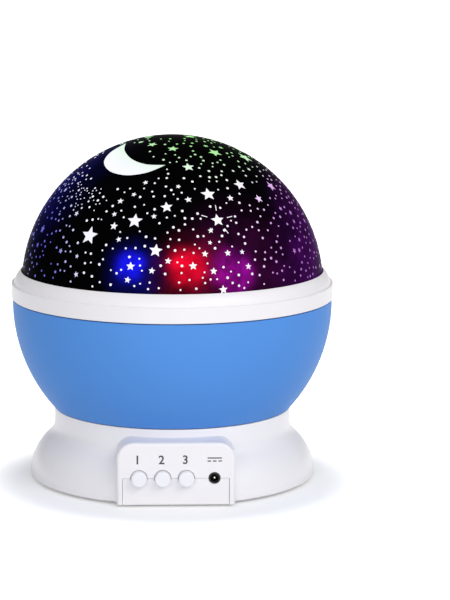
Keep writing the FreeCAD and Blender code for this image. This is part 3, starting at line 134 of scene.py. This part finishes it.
def moulded_plastic(name, colour, roughness, grain_mm, depth, shine=0.5, mottle=0.02):
    """Injection-moulded plastic: a fine even skin with slow waves of gloss and tone."""
    # A mould's grain is under 0.1 mm and too fine to show, so it is drawn at grain_mm.
    material, tree, shader = new_material(name)
    place = add(tree, "TexCoord").outputs["Object"]
    grain = add(tree, "TexNoise", Vector=place, Scale=1 / (grain_mm * MM), Detail=2.0)
    flow = add(tree, "TexNoise", Vector=place, Scale=1 / (35 * MM), Detail=1.0)
    tone = add(tree, "MapRange", Value=flow.outputs["Fac"], To_Min=1 - mottle, To_Max=1 + mottle)
    mixed = add(tree, "Mix", {"data_type": "RGBA", "blend_type": "MULTIPLY"}, i0=1.0,
                i6=linear(colour), i7=tone.outputs["Result"])
    tree.links.new(mixed.outputs[2], shader.inputs["Base Color"])
    rough = add(tree, "MapRange", Value=flow.outputs["Fac"], To_Min=roughness - 0.04,
                To_Max=roughness + 0.04)
    tree.links.new(rough.outputs["Result"], shader.inputs["Roughness"])
    bump = add(tree, "Bump", Height=grain.outputs["Fac"], Strength=0.25, Distance=depth * MM)
    tree.links.new(bump.outputs["Normal"], shader.inputs["Normal"])
    shader.inputs["IOR"].default_value = 1.5
    shader.inputs["Specular IOR Level"].default_value = shine
    return material


def plain_metal(name, colour, roughness, line_mm):
    """Drawn or plated metal: bright, with fine lines along its length."""
    # Drawing lines are about 0.05 mm apart and too fine to show, so they are drawn at line_mm.
    material, tree, shader = new_material(name)
    place = add(tree, "TexCoord").outputs["Object"]
    stretch = add(tree, "Mapping", Vector=place, Scale=(1, 1, 0.05))
    lines = add(tree, "TexNoise", Vector=stretch.outputs["Vector"], Scale=1 / (line_mm * MM))
    rough = add(tree, "MapRange", Value=lines.outputs["Fac"], To_Min=roughness - 0.08,
                To_Max=roughness + 0.08)
    tree.links.new(rough.outputs["Result"], shader.inputs["Roughness"])
    shader.inputs["Base Color"].default_value = linear(colour)
    shader.inputs["Metallic"].default_value = 1.0
    return material


def glow(tree, place, column, row, reach_mm, colour, strength):
    """Soft spot of lamplight behind the film, centred on a place of the photograph."""
    spot = dome_point(column, row)
    gap = add(tree, "VectorMath", {"operation": "DISTANCE"}, i0=place, i1=tuple(spot))
    fade = add(tree, "MapRange", {"interpolation_type": "SMOOTHERSTEP"}, Value=gap.outputs["Value"],
               From_Min=0.0, From_Max=reach_mm * MM, To_Min=strength, To_Max=0.0)
    return add(tree, "Mix", {"data_type": "RGBA", "blend_type": "MULTIPLY"}, i0=1.0,
               i6=linear(colour), i7=fade.outputs["Result"]).outputs[2]


def summed(tree, colours):
    """Add colours together."""
    total = colours[0]
    for colour in colours[1:]:
        total = add(tree, "Mix", {"data_type": "RGBA", "blend_type": "ADD"}, i0=1.0,
                    i6=total, i7=colour).outputs[2]
    return total


def dome_film():
    """Black-printed film on the clear dome: almost black, with the lamps glowing through."""
    material, tree, shader = new_material("black_printed_film")
    place = add(tree, "TexCoord").outputs["Object"]
    across = add(tree, "SeparateXYZ", Vector=place)
    right = add(tree, "MapRange", {"interpolation_type": "SMOOTHSTEP"}, Value=across.outputs["X"],
                From_Min=32 * MM, From_Max=62 * MM, To_Min=0.0, To_Max=1.0)
    violet = add(tree, "Mix", {"data_type": "RGBA", "blend_type": "MULTIPLY"}, i0=1.0,
                 i6=linear("#3E0652"), i7=right.outputs["Result"]).outputs[2]
    light = summed(tree, [violet] + [glow(tree, place, *spot) for spot in FILM_GLOWS])
    cloud = add(tree, "TexNoise", Vector=place, Scale=1 / (9 * MM), Detail=3.0)
    patchy = add(tree, "MapRange", Value=cloud.outputs["Fac"], From_Min=0.3, From_Max=0.7,
                 To_Min=0.35, To_Max=1.35)
    tree.links.new(light, shader.inputs["Emission Color"])
    tree.links.new(patchy.outputs["Result"], shader.inputs["Emission Strength"])
    shader.inputs["Base Color"].default_value = linear("#030304")
    shader.inputs["IOR"].default_value = 1.49
    grain = add(tree, "TexNoise", Vector=place, Scale=1 / (0.6 * MM))
    rough = add(tree, "MapRange", Value=grain.outputs["Fac"], To_Min=0.28, To_Max=0.34)
    tree.links.new(rough.outputs["Result"], shader.inputs["Roughness"])
    shader.inputs["Specular IOR Level"].default_value = 0.001
    return material


def window_light():
    """Clear windows lit from inside: white in the middle, coloured by the nearest lamp."""
    material, tree, shader = new_material("lit_clear_window")
    place = add(tree, "TexCoord").outputs["Object"]
    parts = add(tree, "SeparateXYZ", Vector=place)
    share = add(tree, "MapRange", Value=parts.outputs["X"], From_Min=-DOME_RADIUS,
                From_Max=DOME_RADIUS)
    ramp = add(tree, "ValToRGB", Fac=share.outputs["Result"])
    stops = ramp.color_ramp.elements
    stops[0].position, stops[1].position = WINDOW_STOPS[0][0], WINDOW_STOPS[-1][0]
    for position, colour in WINDOW_STOPS[1:-1]:
        stops.new(position)
    for stop, (position, colour) in zip(stops, WINDOW_STOPS):
        stop.color = linear(colour)
    middle = dome_point(*GREEN_MIDDLE)
    gap = add(tree, "VectorMath", {"operation": "DISTANCE"}, i0=place, i1=tuple(middle))
    green = add(tree, "MapRange", {"interpolation_type": "SMOOTHSTEP"}, Value=gap.outputs["Value"],
                From_Min=12 * MM, From_Max=42 * MM, To_Min=1.0, To_Max=0.0)
    tint = add(tree, "Mix", {"data_type": "RGBA"}, i0=green.outputs["Result"],
               i6=ramp.outputs["Color"], i7=linear("#9BE886")).outputs[2]
    tree.links.new(tint, shader.inputs["Emission Color"])
    shader.inputs["Emission Strength"].default_value = 1.0
    shader.inputs["Base Color"].default_value = linear("#20202A")
    shader.inputs["Roughness"].default_value = 0.3
    return material


def tinted_epoxy(name, colour):
    """Cast epoxy of a lamp: clear or tinted, smooth, a little light inside."""
    material, tree, shader = new_material(name)
    place = add(tree, "TexCoord").outputs["Object"]
    cloud = add(tree, "TexNoise", Vector=place, Scale=1 / (1.5 * MM))
    rough = add(tree, "MapRange", Value=cloud.outputs["Fac"], To_Min=0.05, To_Max=0.12)
    tree.links.new(rough.outputs["Result"], shader.inputs["Roughness"])
    shader.inputs["Base Color"].default_value = linear(colour)
    shader.inputs["Transmission Weight"].default_value = 0.6
    shader.inputs["IOR"].default_value = 1.54
    shader.inputs["Emission Color"].default_value = linear(colour)
    shader.inputs["Emission Strength"].default_value = 0.6
    return material


def circuit_laminate():
    """Glass-epoxy board: green solder resist over a faint weave."""
    # The glass threads are about 0.5 mm apart and too fine to show, so they are drawn at 4 mm.
    material, tree, shader = new_material("green_circuit_laminate")
    place = add(tree, "TexCoord").outputs["Object"]
    weave = add(tree, "TexBrick", {"offset": 0.5}, Vector=place, Scale=1 / (4 * MM),
                Color1=linear("#1E6B3C"), Color2=linear("#237544"), Mortar=linear("#185A31"))
    tree.links.new(weave.outputs["Color"], shader.inputs["Base Color"])
    shader.inputs["Roughness"].default_value = 0.35
    return material


def dry_cell_sleeve():
    """Printed film round a dry cell: dark grey, with a copper-coloured band at the nub end."""
    material, tree, shader = new_material("dry_cell_sleeve")
    place = add(tree, "TexCoord").outputs["Object"]
    parts = add(tree, "SeparateXYZ", Vector=place)
    # The cells lie side by side and turn about from one to the next, as a sine does.
    start = add(tree, "Math", {"operation": "SUBTRACT"}, i0=parts.outputs["Y"], i1=CELLS_START)
    row = add(tree, "Math", {"operation": "MULTIPLY"}, i0=start.outputs["Value"],
              i1=math.pi / CELL_STEP)
    wave = add(tree, "Math", {"operation": "SINE"}, i0=row.outputs["Value"])
    way = add(tree, "Math", {"operation": "SIGN"}, i0=wave.outputs["Value"])
    along = add(tree, "Math", {"operation": "MULTIPLY"}, i0=parts.outputs["X"],
                i1=way.outputs["Value"])
    band = add(tree, "Math", {"operation": "GREATER_THAN"}, i0=along.outputs["Value"],
               i1=BAND_START)
    tone = add(tree, "Mix", {"data_type": "RGBA"}, i0=band.outputs["Value"], i6=linear("#3A3C44"),
               i7=linear("#B87A4A"))
    tree.links.new(tone.outputs[2], shader.inputs["Base Color"])
    shader.inputs["Roughness"].default_value = 0.3
    shader.inputs["Metallic"].default_value = 0.3
    return material


# Places on the dome

def camera_frame():
    """Where the camera stands and its right, up and forward directions."""
    turn = Matrix.Rotation(CAMERA_TURN, 3, "Z")
    stand = turn @ Vector((0, -CAMERA_DISTANCE, 0)) + Vector((0, 0, CAMERA_LEVEL))
    forward = turn @ Vector((0, math.cos(CAMERA_PITCH), -math.sin(CAMERA_PITCH)))
    right = turn @ Vector((1, 0, 0))
    return stand, right, right.cross(forward), forward


def dome_point(column, row):
    """Place on the dome's sphere that shows at a pixel of the photograph."""
    stand, right, up, forward = camera_frame()
    ray = (forward + right * ((column - AXIS_COLUMN) / FOCAL_PIXELS)
           + up * ((PHOTO_HEIGHT / 2 - row) / FOCAL_PIXELS)).normalized()
    to_centre = DOME_CENTRE - stand
    along = ray.dot(to_centre)
    gap = DOME_RADIUS ** 2 - (to_centre.length_squared - along ** 2)
    if gap < 0:
        nearest = stand + ray * along - DOME_CENTRE
        return DOME_CENTRE + nearest.normalized() * DOME_RADIUS
    return stand + ray * (along - math.sqrt(gap))


def tangent_frame(direction):
    """Two directions along the dome at a place: level, and up the dome."""
    level = Vector((0, 0, 1)).cross(direction)
    if level.length < 1e-6:
        level = Vector((1, 0, 0))
    level.normalize()
    return level, direction.cross(level)


# Windows: how far they stand out of the dome and reach into its wall.
WINDOW_PROUD = 0.05 * MM
WINDOW_SINK = 0.30 * MM


def plug(mesh, centre, ring):
    """Add one closed window: a fan on the dome over its sides and its back in the wall."""
    def placed(point, radius):
        return mesh.verts.new(DOME_CENTRE + (point - DOME_CENTRE).normalized() * radius)
    outer, inner = DOME_RADIUS + WINDOW_PROUD, DOME_RADIUS - WINDOW_SINK
    front = [placed(point, outer) for point in ring]
    back = [placed(point, inner) for point in ring]
    top, bottom = placed(centre, outer), placed(centre, inner)
    for i in range(len(ring)):
        j = (i + 1) % len(ring)
        mesh.faces.new((top, front[i], front[j]))
        mesh.faces.new((bottom, back[j], back[i]))
        mesh.faces.new((front[i], back[i], back[j], front[j]))


def star_ring(point, radius, turn, points=5, waist=0.46):
    """Corners of a star on the dome, one point up."""
    level, rise = tangent_frame((point - DOME_CENTRE).normalized())
    ring = []
    for corner in range(2 * points):
        angle = turn + math.pi / 2 + corner * math.pi / points
        size = radius * (1 if corner % 2 == 0 else waist)
        ring.append(point + level * (size * math.cos(angle)) + rise * (size * math.sin(angle)))
    return ring


def dot_ring(point, radius, corners=8):
    """Corners of a round window on the dome."""
    return star_ring(point, radius, 0, corners // 2, 1.0)


def finish_mesh(name, mesh, material, body, smooth=False):
    """Turn a mesh under construction into a piece that rides on a body."""
    bmesh.ops.recalc_face_normals(mesh, faces=mesh.faces)
    data = bpy.data.meshes.new(name)
    mesh.to_mesh(data)
    mesh.free()
    for face in data.polygons:
        face.use_smooth = smooth
    data.materials.append(material)
    piece = bpy.data.objects.new(name, data)
    bpy.context.scene.collection.objects.link(piece)
    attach(piece, body)
    return piece


# Windows that the photograph shows: column, row, width across the points, in its pixels.
PHOTO_STARS = (
    (89.4, 235.6, 17), (134.9, 220.9, 14), (166.6, 207.2, 11), (208.2, 194.2, 13.5),
    (239.7, 184.7, 12), (217.6, 220.2, 12), (155.7, 250.6, 12), (113.9, 226.1, 7.5),
    (188.3, 167.1, 11), (214.8, 152.6, 13), (172.9, 148.7, 10), (152.3, 144.5, 9),
    (245.0, 157.5, 15), (271.0, 186.2, 11), (258.8, 198.8, 8.5), (230.4, 198.1, 6.5),
    (188.3, 199.6, 6.5), (120.4, 201.1, 6), (223.4, 289.7, 8), (193.1, 266.0, 7.5),
    (213.7, 271.2, 6.5), (248.4, 266.4, 6), (227.8, 253.0, 6), (205.0, 253.9, 6),
    (168.1, 261.0, 6), (151.8, 270.8, 6), (127.5, 279.9, 6), (42.7, 229.0, 8),
    (189.8, 136.5, 12), (148.6, 137.0, 9), (130.5, 266.3, 8),
)
# The star with five rays round it, and the rays' start, end and half width.
RAYED_STAR = (217.6, 220.2)
RAY_START, RAY_END, RAY_HALF = 4.2 * MM, 6.6 * MM, 0.14 * MM
# Size of a photograph's pixel at the lamp.
PIXEL = CAMERA_DISTANCE / FOCAL_PIXELS
# The moon's round back and its hollow side, from its upper tip to its right one.
MOON_BACK = ((125.7, 143.5), (110.5, 152.5), (104.0, 162.5), (110.5, 171.5), (127.2, 175.2),
             (147.5, 172.3), (165.2, 165.1))
MOON_HOLLOW = ((125.7, 143.5), (124.6, 150.5), (131.7, 159.1), (146.0, 164.4), (165.2, 165.1))
# Stars are drawn a little larger than measured, as the photograph's edges are soft.
STAR_SCALE = 1.12
SEED = 11
DOT_COUNT = 2600
SMALL_STAR_COUNT = 90
# Cloud of the smallest dots at the upper left: its middle and spread in pixels.
CLUSTER = (76.0, 192.0)
CLUSTER_SPREAD = 13
CLUSTER_COUNT = 90
CLUSTER_DOT = 0.27 * MM


def smooth_through(points, steps):
    """Evenly stepped places along a smooth curve through points."""
    ends = [points[0], *points, points[-1]]
    places = []
    for step in range(steps + 1):
        along = step / steps * (len(points) - 1)
        span = min(int(along), len(points) - 2)
        t = along - span
        p, q, r, s = ends[span:span + 4]
        places.append(tuple(
            0.5 * (2 * q[i] + (r[i] - p[i]) * t + (2 * p[i] - 5 * q[i] + 4 * r[i] - s[i]) * t ** 2
                   + (3 * q[i] - p[i] - 3 * r[i] + s[i]) * t ** 3) for i in (0, 1)))
    return places


def moon(material):
    """Crescent window: strips between its round back and its hollow side."""
    steps, across = 30, 5
    back = smooth_through(MOON_BACK, steps)
    hollow = smooth_through(MOON_HOLLOW, steps)
    mesh = bmesh.new()
    layers = []
    for radius in (DOME_RADIUS + WINDOW_PROUD, DOME_RADIUS - WINDOW_SINK):
        rows = []
        for (x0, y0), (x1, y1) in zip(back, hollow):
            row = []
            for i in range(across + 1):
                share = i / across
                point = dome_point(x0 + (x1 - x0) * share, y0 + (y1 - y0) * share)
                way = (point - DOME_CENTRE).normalized()
                row.append(mesh.verts.new(DOME_CENTRE + way * radius))
            rows.append(row)
        layers.append(rows)
    front, rear = layers
    for k in range(steps):
        for i in range(across):
            mesh.faces.new((front[k][i], front[k][i + 1], front[k + 1][i + 1], front[k + 1][i]))
            mesh.faces.new((rear[k][i], rear[k + 1][i], rear[k + 1][i + 1], rear[k][i + 1]))
        for i in (0, across):
            mesh.faces.new((front[k][i], front[k + 1][i], rear[k + 1][i], rear[k][i]))
    bmesh.ops.remove_doubles(mesh, verts=mesh.verts, dist=0.01 * MM)
    return finish_mesh("moon_window", mesh, material, "shade")


def far_enough(point, taken, gap):
    """True where a place keeps its distance from the windows already there."""
    return all((point - other).length > gap + size for other, size in taken)


def star_windows(material):
    """Stars and dots: the ones that the photograph shows, and more all round the dome."""
    rng = random.Random(SEED)
    stars, dots = bmesh.new(), bmesh.new()
    taken = []
    for outer, inner in zip(smooth_through(MOON_BACK, 12), smooth_through(MOON_HOLLOW, 12)):
        width = math.dist(outer, inner) * PIXEL
        taken.append((dome_point((outer[0] + inner[0]) / 2, (outer[1] + inner[1]) / 2), width))
    for column, row, width in PHOTO_STARS:
        point = dome_point(column, row)
        radius = width * STAR_SCALE / 2 * PIXEL
        plug(stars, point, star_ring(point, radius, rng.uniform(-0.15, 0.15)))
        taken.append((point, radius))
    for ray in range(5):
        angle = math.radians(-5 + 72 * ray) + math.pi / 2
        place = dome_point(*RAYED_STAR)
        level, rise = tangent_frame((place - DOME_CENTRE).normalized())
        way = level * math.cos(angle) + rise * math.sin(angle)
        side = way.cross((place - DOME_CENTRE).normalized()) * RAY_HALF
        near, far = place + way * RAY_START, place + way * RAY_END
        plug(stars, (near + far) / 2, [near - side, far - side, far + side, near + side])
    low = RING_TOP + 1.2 * MM

    def somewhere():
        height = rng.uniform(low, DOME_HIGH[2] - 0.6 * MM) - DOME_CENTRE.z
        angle = rng.uniform(0, 2 * math.pi)
        reach = math.sqrt(DOME_RADIUS ** 2 - height ** 2)
        return DOME_CENTRE + Vector((reach * math.cos(angle), reach * math.sin(angle), height))

    for _ in range(SMALL_STAR_COUNT):
        point = somewhere()
        front = point.y < -8 * MM
        radius = rng.uniform(0.9, 1.2) * MM if front else rng.choice((1.1, 1.5, 2.2, 3.0)) * MM
        if far_enough(point, taken, radius + 1.5 * MM):
            plug(stars, point, star_ring(point, radius, rng.uniform(-0.4, 0.4)))
            taken.append((point, radius))
    for _ in range(DOT_COUNT):
        point = somewhere()
        radius = rng.choice((0.36, 0.42, 0.48, 0.54)) * MM
        if far_enough(point, taken, radius + 1.3 * MM):
            plug(dots, point, dot_ring(point, radius))
            taken.append((point, radius))
    for _ in range(CLUSTER_COUNT):
        point = dome_point(CLUSTER[0] + rng.gauss(0, CLUSTER_SPREAD),
                           CLUSTER[1] + rng.gauss(0, CLUSTER_SPREAD))
        if far_enough(point, taken, 0.7 * MM) and point.z > low:
            plug(dots, point, dot_ring(point, CLUSTER_DOT))
            taken.append((point, CLUSTER_DOT))
    finish_mesh("star_windows", stars, material, "shade")
    finish_mesh("dot_windows", dots, material, "shade")


# Marks on the panel

def number_mark(name, text, x, material):
    """Printed number on the panel's face, as thin raised ink."""
    curve = bpy.data.curves.new(name, "FONT")
    curve.body = text
    curve.align_x = "CENTER"
    curve.align_y = "CENTER"
    curve.extrude = 0.02
    curve.offset = 0.018
    curve.resolution_u = 4
    letters = bpy.data.objects.new(name + "_outline", curve)
    bpy.context.scene.collection.objects.link(letters)
    bpy.context.view_layer.update()
    data = bpy.data.meshes.new_from_object(letters.evaluated_get(
        bpy.context.evaluated_depsgraph_get()))
    bpy.data.objects.remove(letters)
    low = [min(v.co[i] for v in data.vertices) for i in range(3)]
    high = [max(v.co[i] for v in data.vertices) for i in range(3)]
    scale = MARK_HEIGHT * MM / (high[1] - low[1])
    for vertex in data.vertices:
        u = (vertex.co.x - (low[0] + high[0]) / 2) * scale
        v = (vertex.co.y - (low[1] + high[1]) / 2) * scale
        depth = INK_PROUD if vertex.co.z > (low[2] + high[2]) / 2 else -INK_SINK
        vertex.co = (x * MM + u, PANEL_FACE - depth, MARK_LEVEL * MM + v)
    data.materials.clear()
    data.materials.append(material)
    piece = bpy.data.objects.new(name, data)
    bpy.context.scene.collection.objects.link(piece)
    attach(piece, "base")


def power_mark(material):
    """Direct current mark over the socket, in the same ink."""
    mesh = bmesh.new()
    for left, right, low, high in POWER_BARS:
        middle = Vector(((left + right) / 2 * MM, PANEL_FACE + (INK_SINK - INK_PROUD) / 2,
                         (low + high) / 2 * MM))
        size = Vector(((right - left) * MM, INK_SINK + INK_PROUD, (high - low) * MM))
        bmesh.ops.create_cube(mesh, size=1.0,
                              matrix=Matrix.Translation(middle) @ Matrix.Diagonal(size).to_4x4())
    finish_mesh("mark_power", mesh, material, "base")


def panel_marks():
    """Numbers over the buttons and the current's mark over the socket."""
    ink, tree, shader = new_material("dark_pad_print_ink")
    place = add(tree, "TexCoord").outputs["Object"]
    speck = add(tree, "TexNoise", Vector=place, Scale=1 / (0.4 * MM))
    tone = add(tree, "Mix", {"data_type": "RGBA"}, i0=speck.outputs["Fac"], i6=linear("#33333B"),
               i7=linear("#44444C"))
    tree.links.new(tone.outputs[2], shader.inputs["Base Color"])
    shader.inputs["Roughness"].default_value = 0.5
    for name, text, x in BUTTON_MARKS:
        number_mark(name, text, x, ink)
    power_mark(ink)


# Stage

def pale_floor():
    """White floor: it keeps the soft shadow near the lamp and turns plain white farther out."""
    bpy.ops.mesh.primitive_plane_add(size=FLOOR_SIZE)
    floor = bpy.context.object
    floor.name = "floor"
    material, tree, shader = new_material("white_paper_floor")
    shader.inputs["Base Color"].default_value = linear("#E7E7E7")
    shader.inputs["Roughness"].default_value = 1.0
    shader.inputs["Specular IOR Level"].default_value = 0.0
    shader.inputs["Emission Color"].default_value = linear("#FFFFFF")
    place = add(tree, "TexCoord").outputs["Object"]
    reach = add(tree, "VectorMath", {"operation": "DISTANCE"}, i0=place, i1=(0, SHADOW_MIDDLE, 0))
    lift = add(tree, "MapRange", {"interpolation_type": "SMOOTHSTEP"}, Value=reach.outputs["Value"],
               From_Min=SHADOW_INSIDE, From_Max=SHADOW_OUTSIDE, To_Min=FLOOR_LIFT, To_Max=1.0)
    path = add(tree, "LightPath")
    seen = path.outputs["Is Camera Ray"]
    for kind in ("Is Glossy Ray", "Is Transmission Ray"):
        either = add(tree, "Math", {"operation": "MAXIMUM"}, i0=seen, i1=path.outputs[kind])
        seen = either.outputs["Value"]
    shown = add(tree, "Math", {"operation": "MULTIPLY"}, i0=seen, i1=lift.outputs["Result"])
    tree.links.new(shown.outputs["Value"], shader.inputs["Emission Strength"])
    # Seen from below the floor is clear, so that the lamp's underside shows.
    below = add(tree, "NewGeometry").outputs["Backfacing"]
    clear = add(tree, "BsdfTransparent").outputs["BSDF"]
    mixed = add(tree, "MixShader", i0=below, i1=shader.outputs["BSDF"], i2=clear)
    tree.links.new(mixed.outputs["Shader"], tree.nodes["Material Output"].inputs["Surface"])
    floor.data.materials.append(material)


def world_light():
    """Even soft light from all round, seen as white."""
    world = bpy.data.worlds.new("studio")
    bpy.context.scene.world = world
    world.use_nodes = True
    tree = world.node_tree
    back = tree.nodes["Background"]
    back.inputs["Color"].default_value = (1, 1, 1, 1)
    path = add(tree, "LightPath")
    seen = add(tree, "Math", {"operation": "MAXIMUM"}, i0=path.outputs["Is Camera Ray"],
               i1=path.outputs["Is Transmission Ray"])
    level = add(tree, "MapRange", Value=seen.outputs["Value"], To_Min=WORLD_LEVEL,
                To_Max=1.0)
    tree.links.new(level.outputs["Result"], back.inputs["Strength"])


def soft_box(name, place, size, power):
    """Square soft box that looks at the lamp."""
    light = bpy.data.lights.new(name, "AREA")
    light.size = size
    light.energy = power
    box = bpy.data.objects.new(name, light)
    bpy.context.scene.collection.objects.link(box)
    box.location = place
    way = Vector((0, 0, LIT_HEIGHT)) - Vector(place)
    box.rotation_euler = way.to_track_quat("-Z", "Y").to_euler()


def camera():
    """Camera where the photograph was taken from."""
    lens = bpy.data.cameras.new("camera")
    lens.sensor_width = SENSOR
    lens.sensor_fit = "AUTO"
    lens.lens = FOCAL_PIXELS * SENSOR / PHOTO_HEIGHT
    lens.shift_x = (PHOTO_WIDTH / 2 - AXIS_COLUMN) / PHOTO_HEIGHT
    lens.clip_start = 0.01
    stand, right, up, forward = camera_frame()
    eye = bpy.data.objects.new("camera", lens)
    bpy.context.scene.collection.objects.link(eye)
    turned = Matrix((right, up, -forward)).transposed().to_4x4()
    eye.matrix_world = Matrix.Translation(stand) @ turned
    bpy.context.scene.camera = eye


def finishes():
    """Give every frame node the finish of its slot."""
    made = {
        # White ABS off a polished mould: bright and even, with soft wide highlights on the flare.
        "white_abs": moulded_plastic("white_abs_gloss", "#EDEBEF", 0.34, 0.5, 0.01),
        # White styrene, moulded matt: a flat pale disc that spreads the lamps' light.
        "white_styrene": moulded_plastic("white_styrene_matt", "#F0F0F0", 0.6, 0.4, 0.01),
        # Blue ABS off a satin mould: an even sky blue that darkens towards its edges, no highlight.
        "blue_abs": moulded_plastic("blue_abs_satin", "#5592E0", 0.5, 0.5, 0.01, 0.1),
        # Black print on clear styrene: a deep black skin that the lamps colour from inside.
        "dark_dome": dome_film(),
        # Moulded black rubber: dull, with a slight grain.
        "foot_rubber": moulded_plastic("black_rubber", "#222222", 0.8, 0.3, 0.03),
        # White ABS caps off a polished mould: a touch glossier than the shell, so their rims show.
        "button_abs": moulded_plastic("button_abs_gloss", "#ECECF2", 0.3, 0.4, 0.01),
        # Moulded black nylon and polyester: plain dark parts with a dull sheen.
        "stem_plastic": moulded_plastic("black_nylon", "#26262A", 0.5, 0.4, 0.01),
        "black_plastic": moulded_plastic("black_pbt", "#121214", 0.4, 0.4, 0.01),
        # Turned and plated pin: a small bright point in the dark socket.
        "nickel_pin": plain_metal("nickel_plate", "#D8D4CC", 0.25, 0.2),
        # Glass-epoxy laminate under solder resist: satin green with a faint weave.
        "board_laminate": circuit_laminate(),
        # Shrunk printed film: a smooth dark sleeve with one copper end.
        "cell_sleeve": dry_cell_sleeve(),
        # Plated and drawn sheet: warm or cool grey metal with fine drawing lines.
        "nickel_steel": plain_metal("nickel_plated_sheet", "#C9C9C4", 0.3, 0.3),
        "motor_steel": plain_metal("bright_drawn_steel", "#BDBDBD", 0.3, 0.3),
        "gearbox_brass": plain_metal("stamped_brass", "#C9A35C", 0.3, 0.3),
        # Moulded nylon and acetal: slightly waxy, pale, without highlights.
        "grey_nylon": moulded_plastic("grey_nylon", "#B4B4B4", 0.5, 0.4, 0.01),
        "white_acetal": moulded_plastic("white_acetal", "#ECECE6", 0.4, 0.4, 0.01),
        # Zinc-plated steel: a dull bright grey.
        "screw_steel": plain_metal("zinc_plated_steel", "#A8A8A8", 0.35, 0.3),
        # Cast epoxy: clear, smooth drops that hold a little of their own light.
        "lamp_clear": tinted_epoxy("clear_epoxy", "#F2F2F2"),
        "lamp_red": tinted_epoxy("red_epoxy", "#E62828"),
        "lamp_green": tinted_epoxy("green_epoxy", "#28D840"),
        "lamp_blue": tinted_epoxy("blue_epoxy", "#2850F0"),
    }
    for subpart in frame["record"]["subparts"]:
        node = frame["nodes"][subpart["node"]]
        node.data.materials.clear()
        node.data.materials.append(made[subpart["material_slot"]])


bpy.context.scene.view_settings.view_transform = "Standard"
camera()
pale_floor()
world_light()
for box in SOFT_BOXES:
    soft_box(*box)
finishes()
lit = window_light()
moon(lit)
star_windows(lit)
panel_marks()
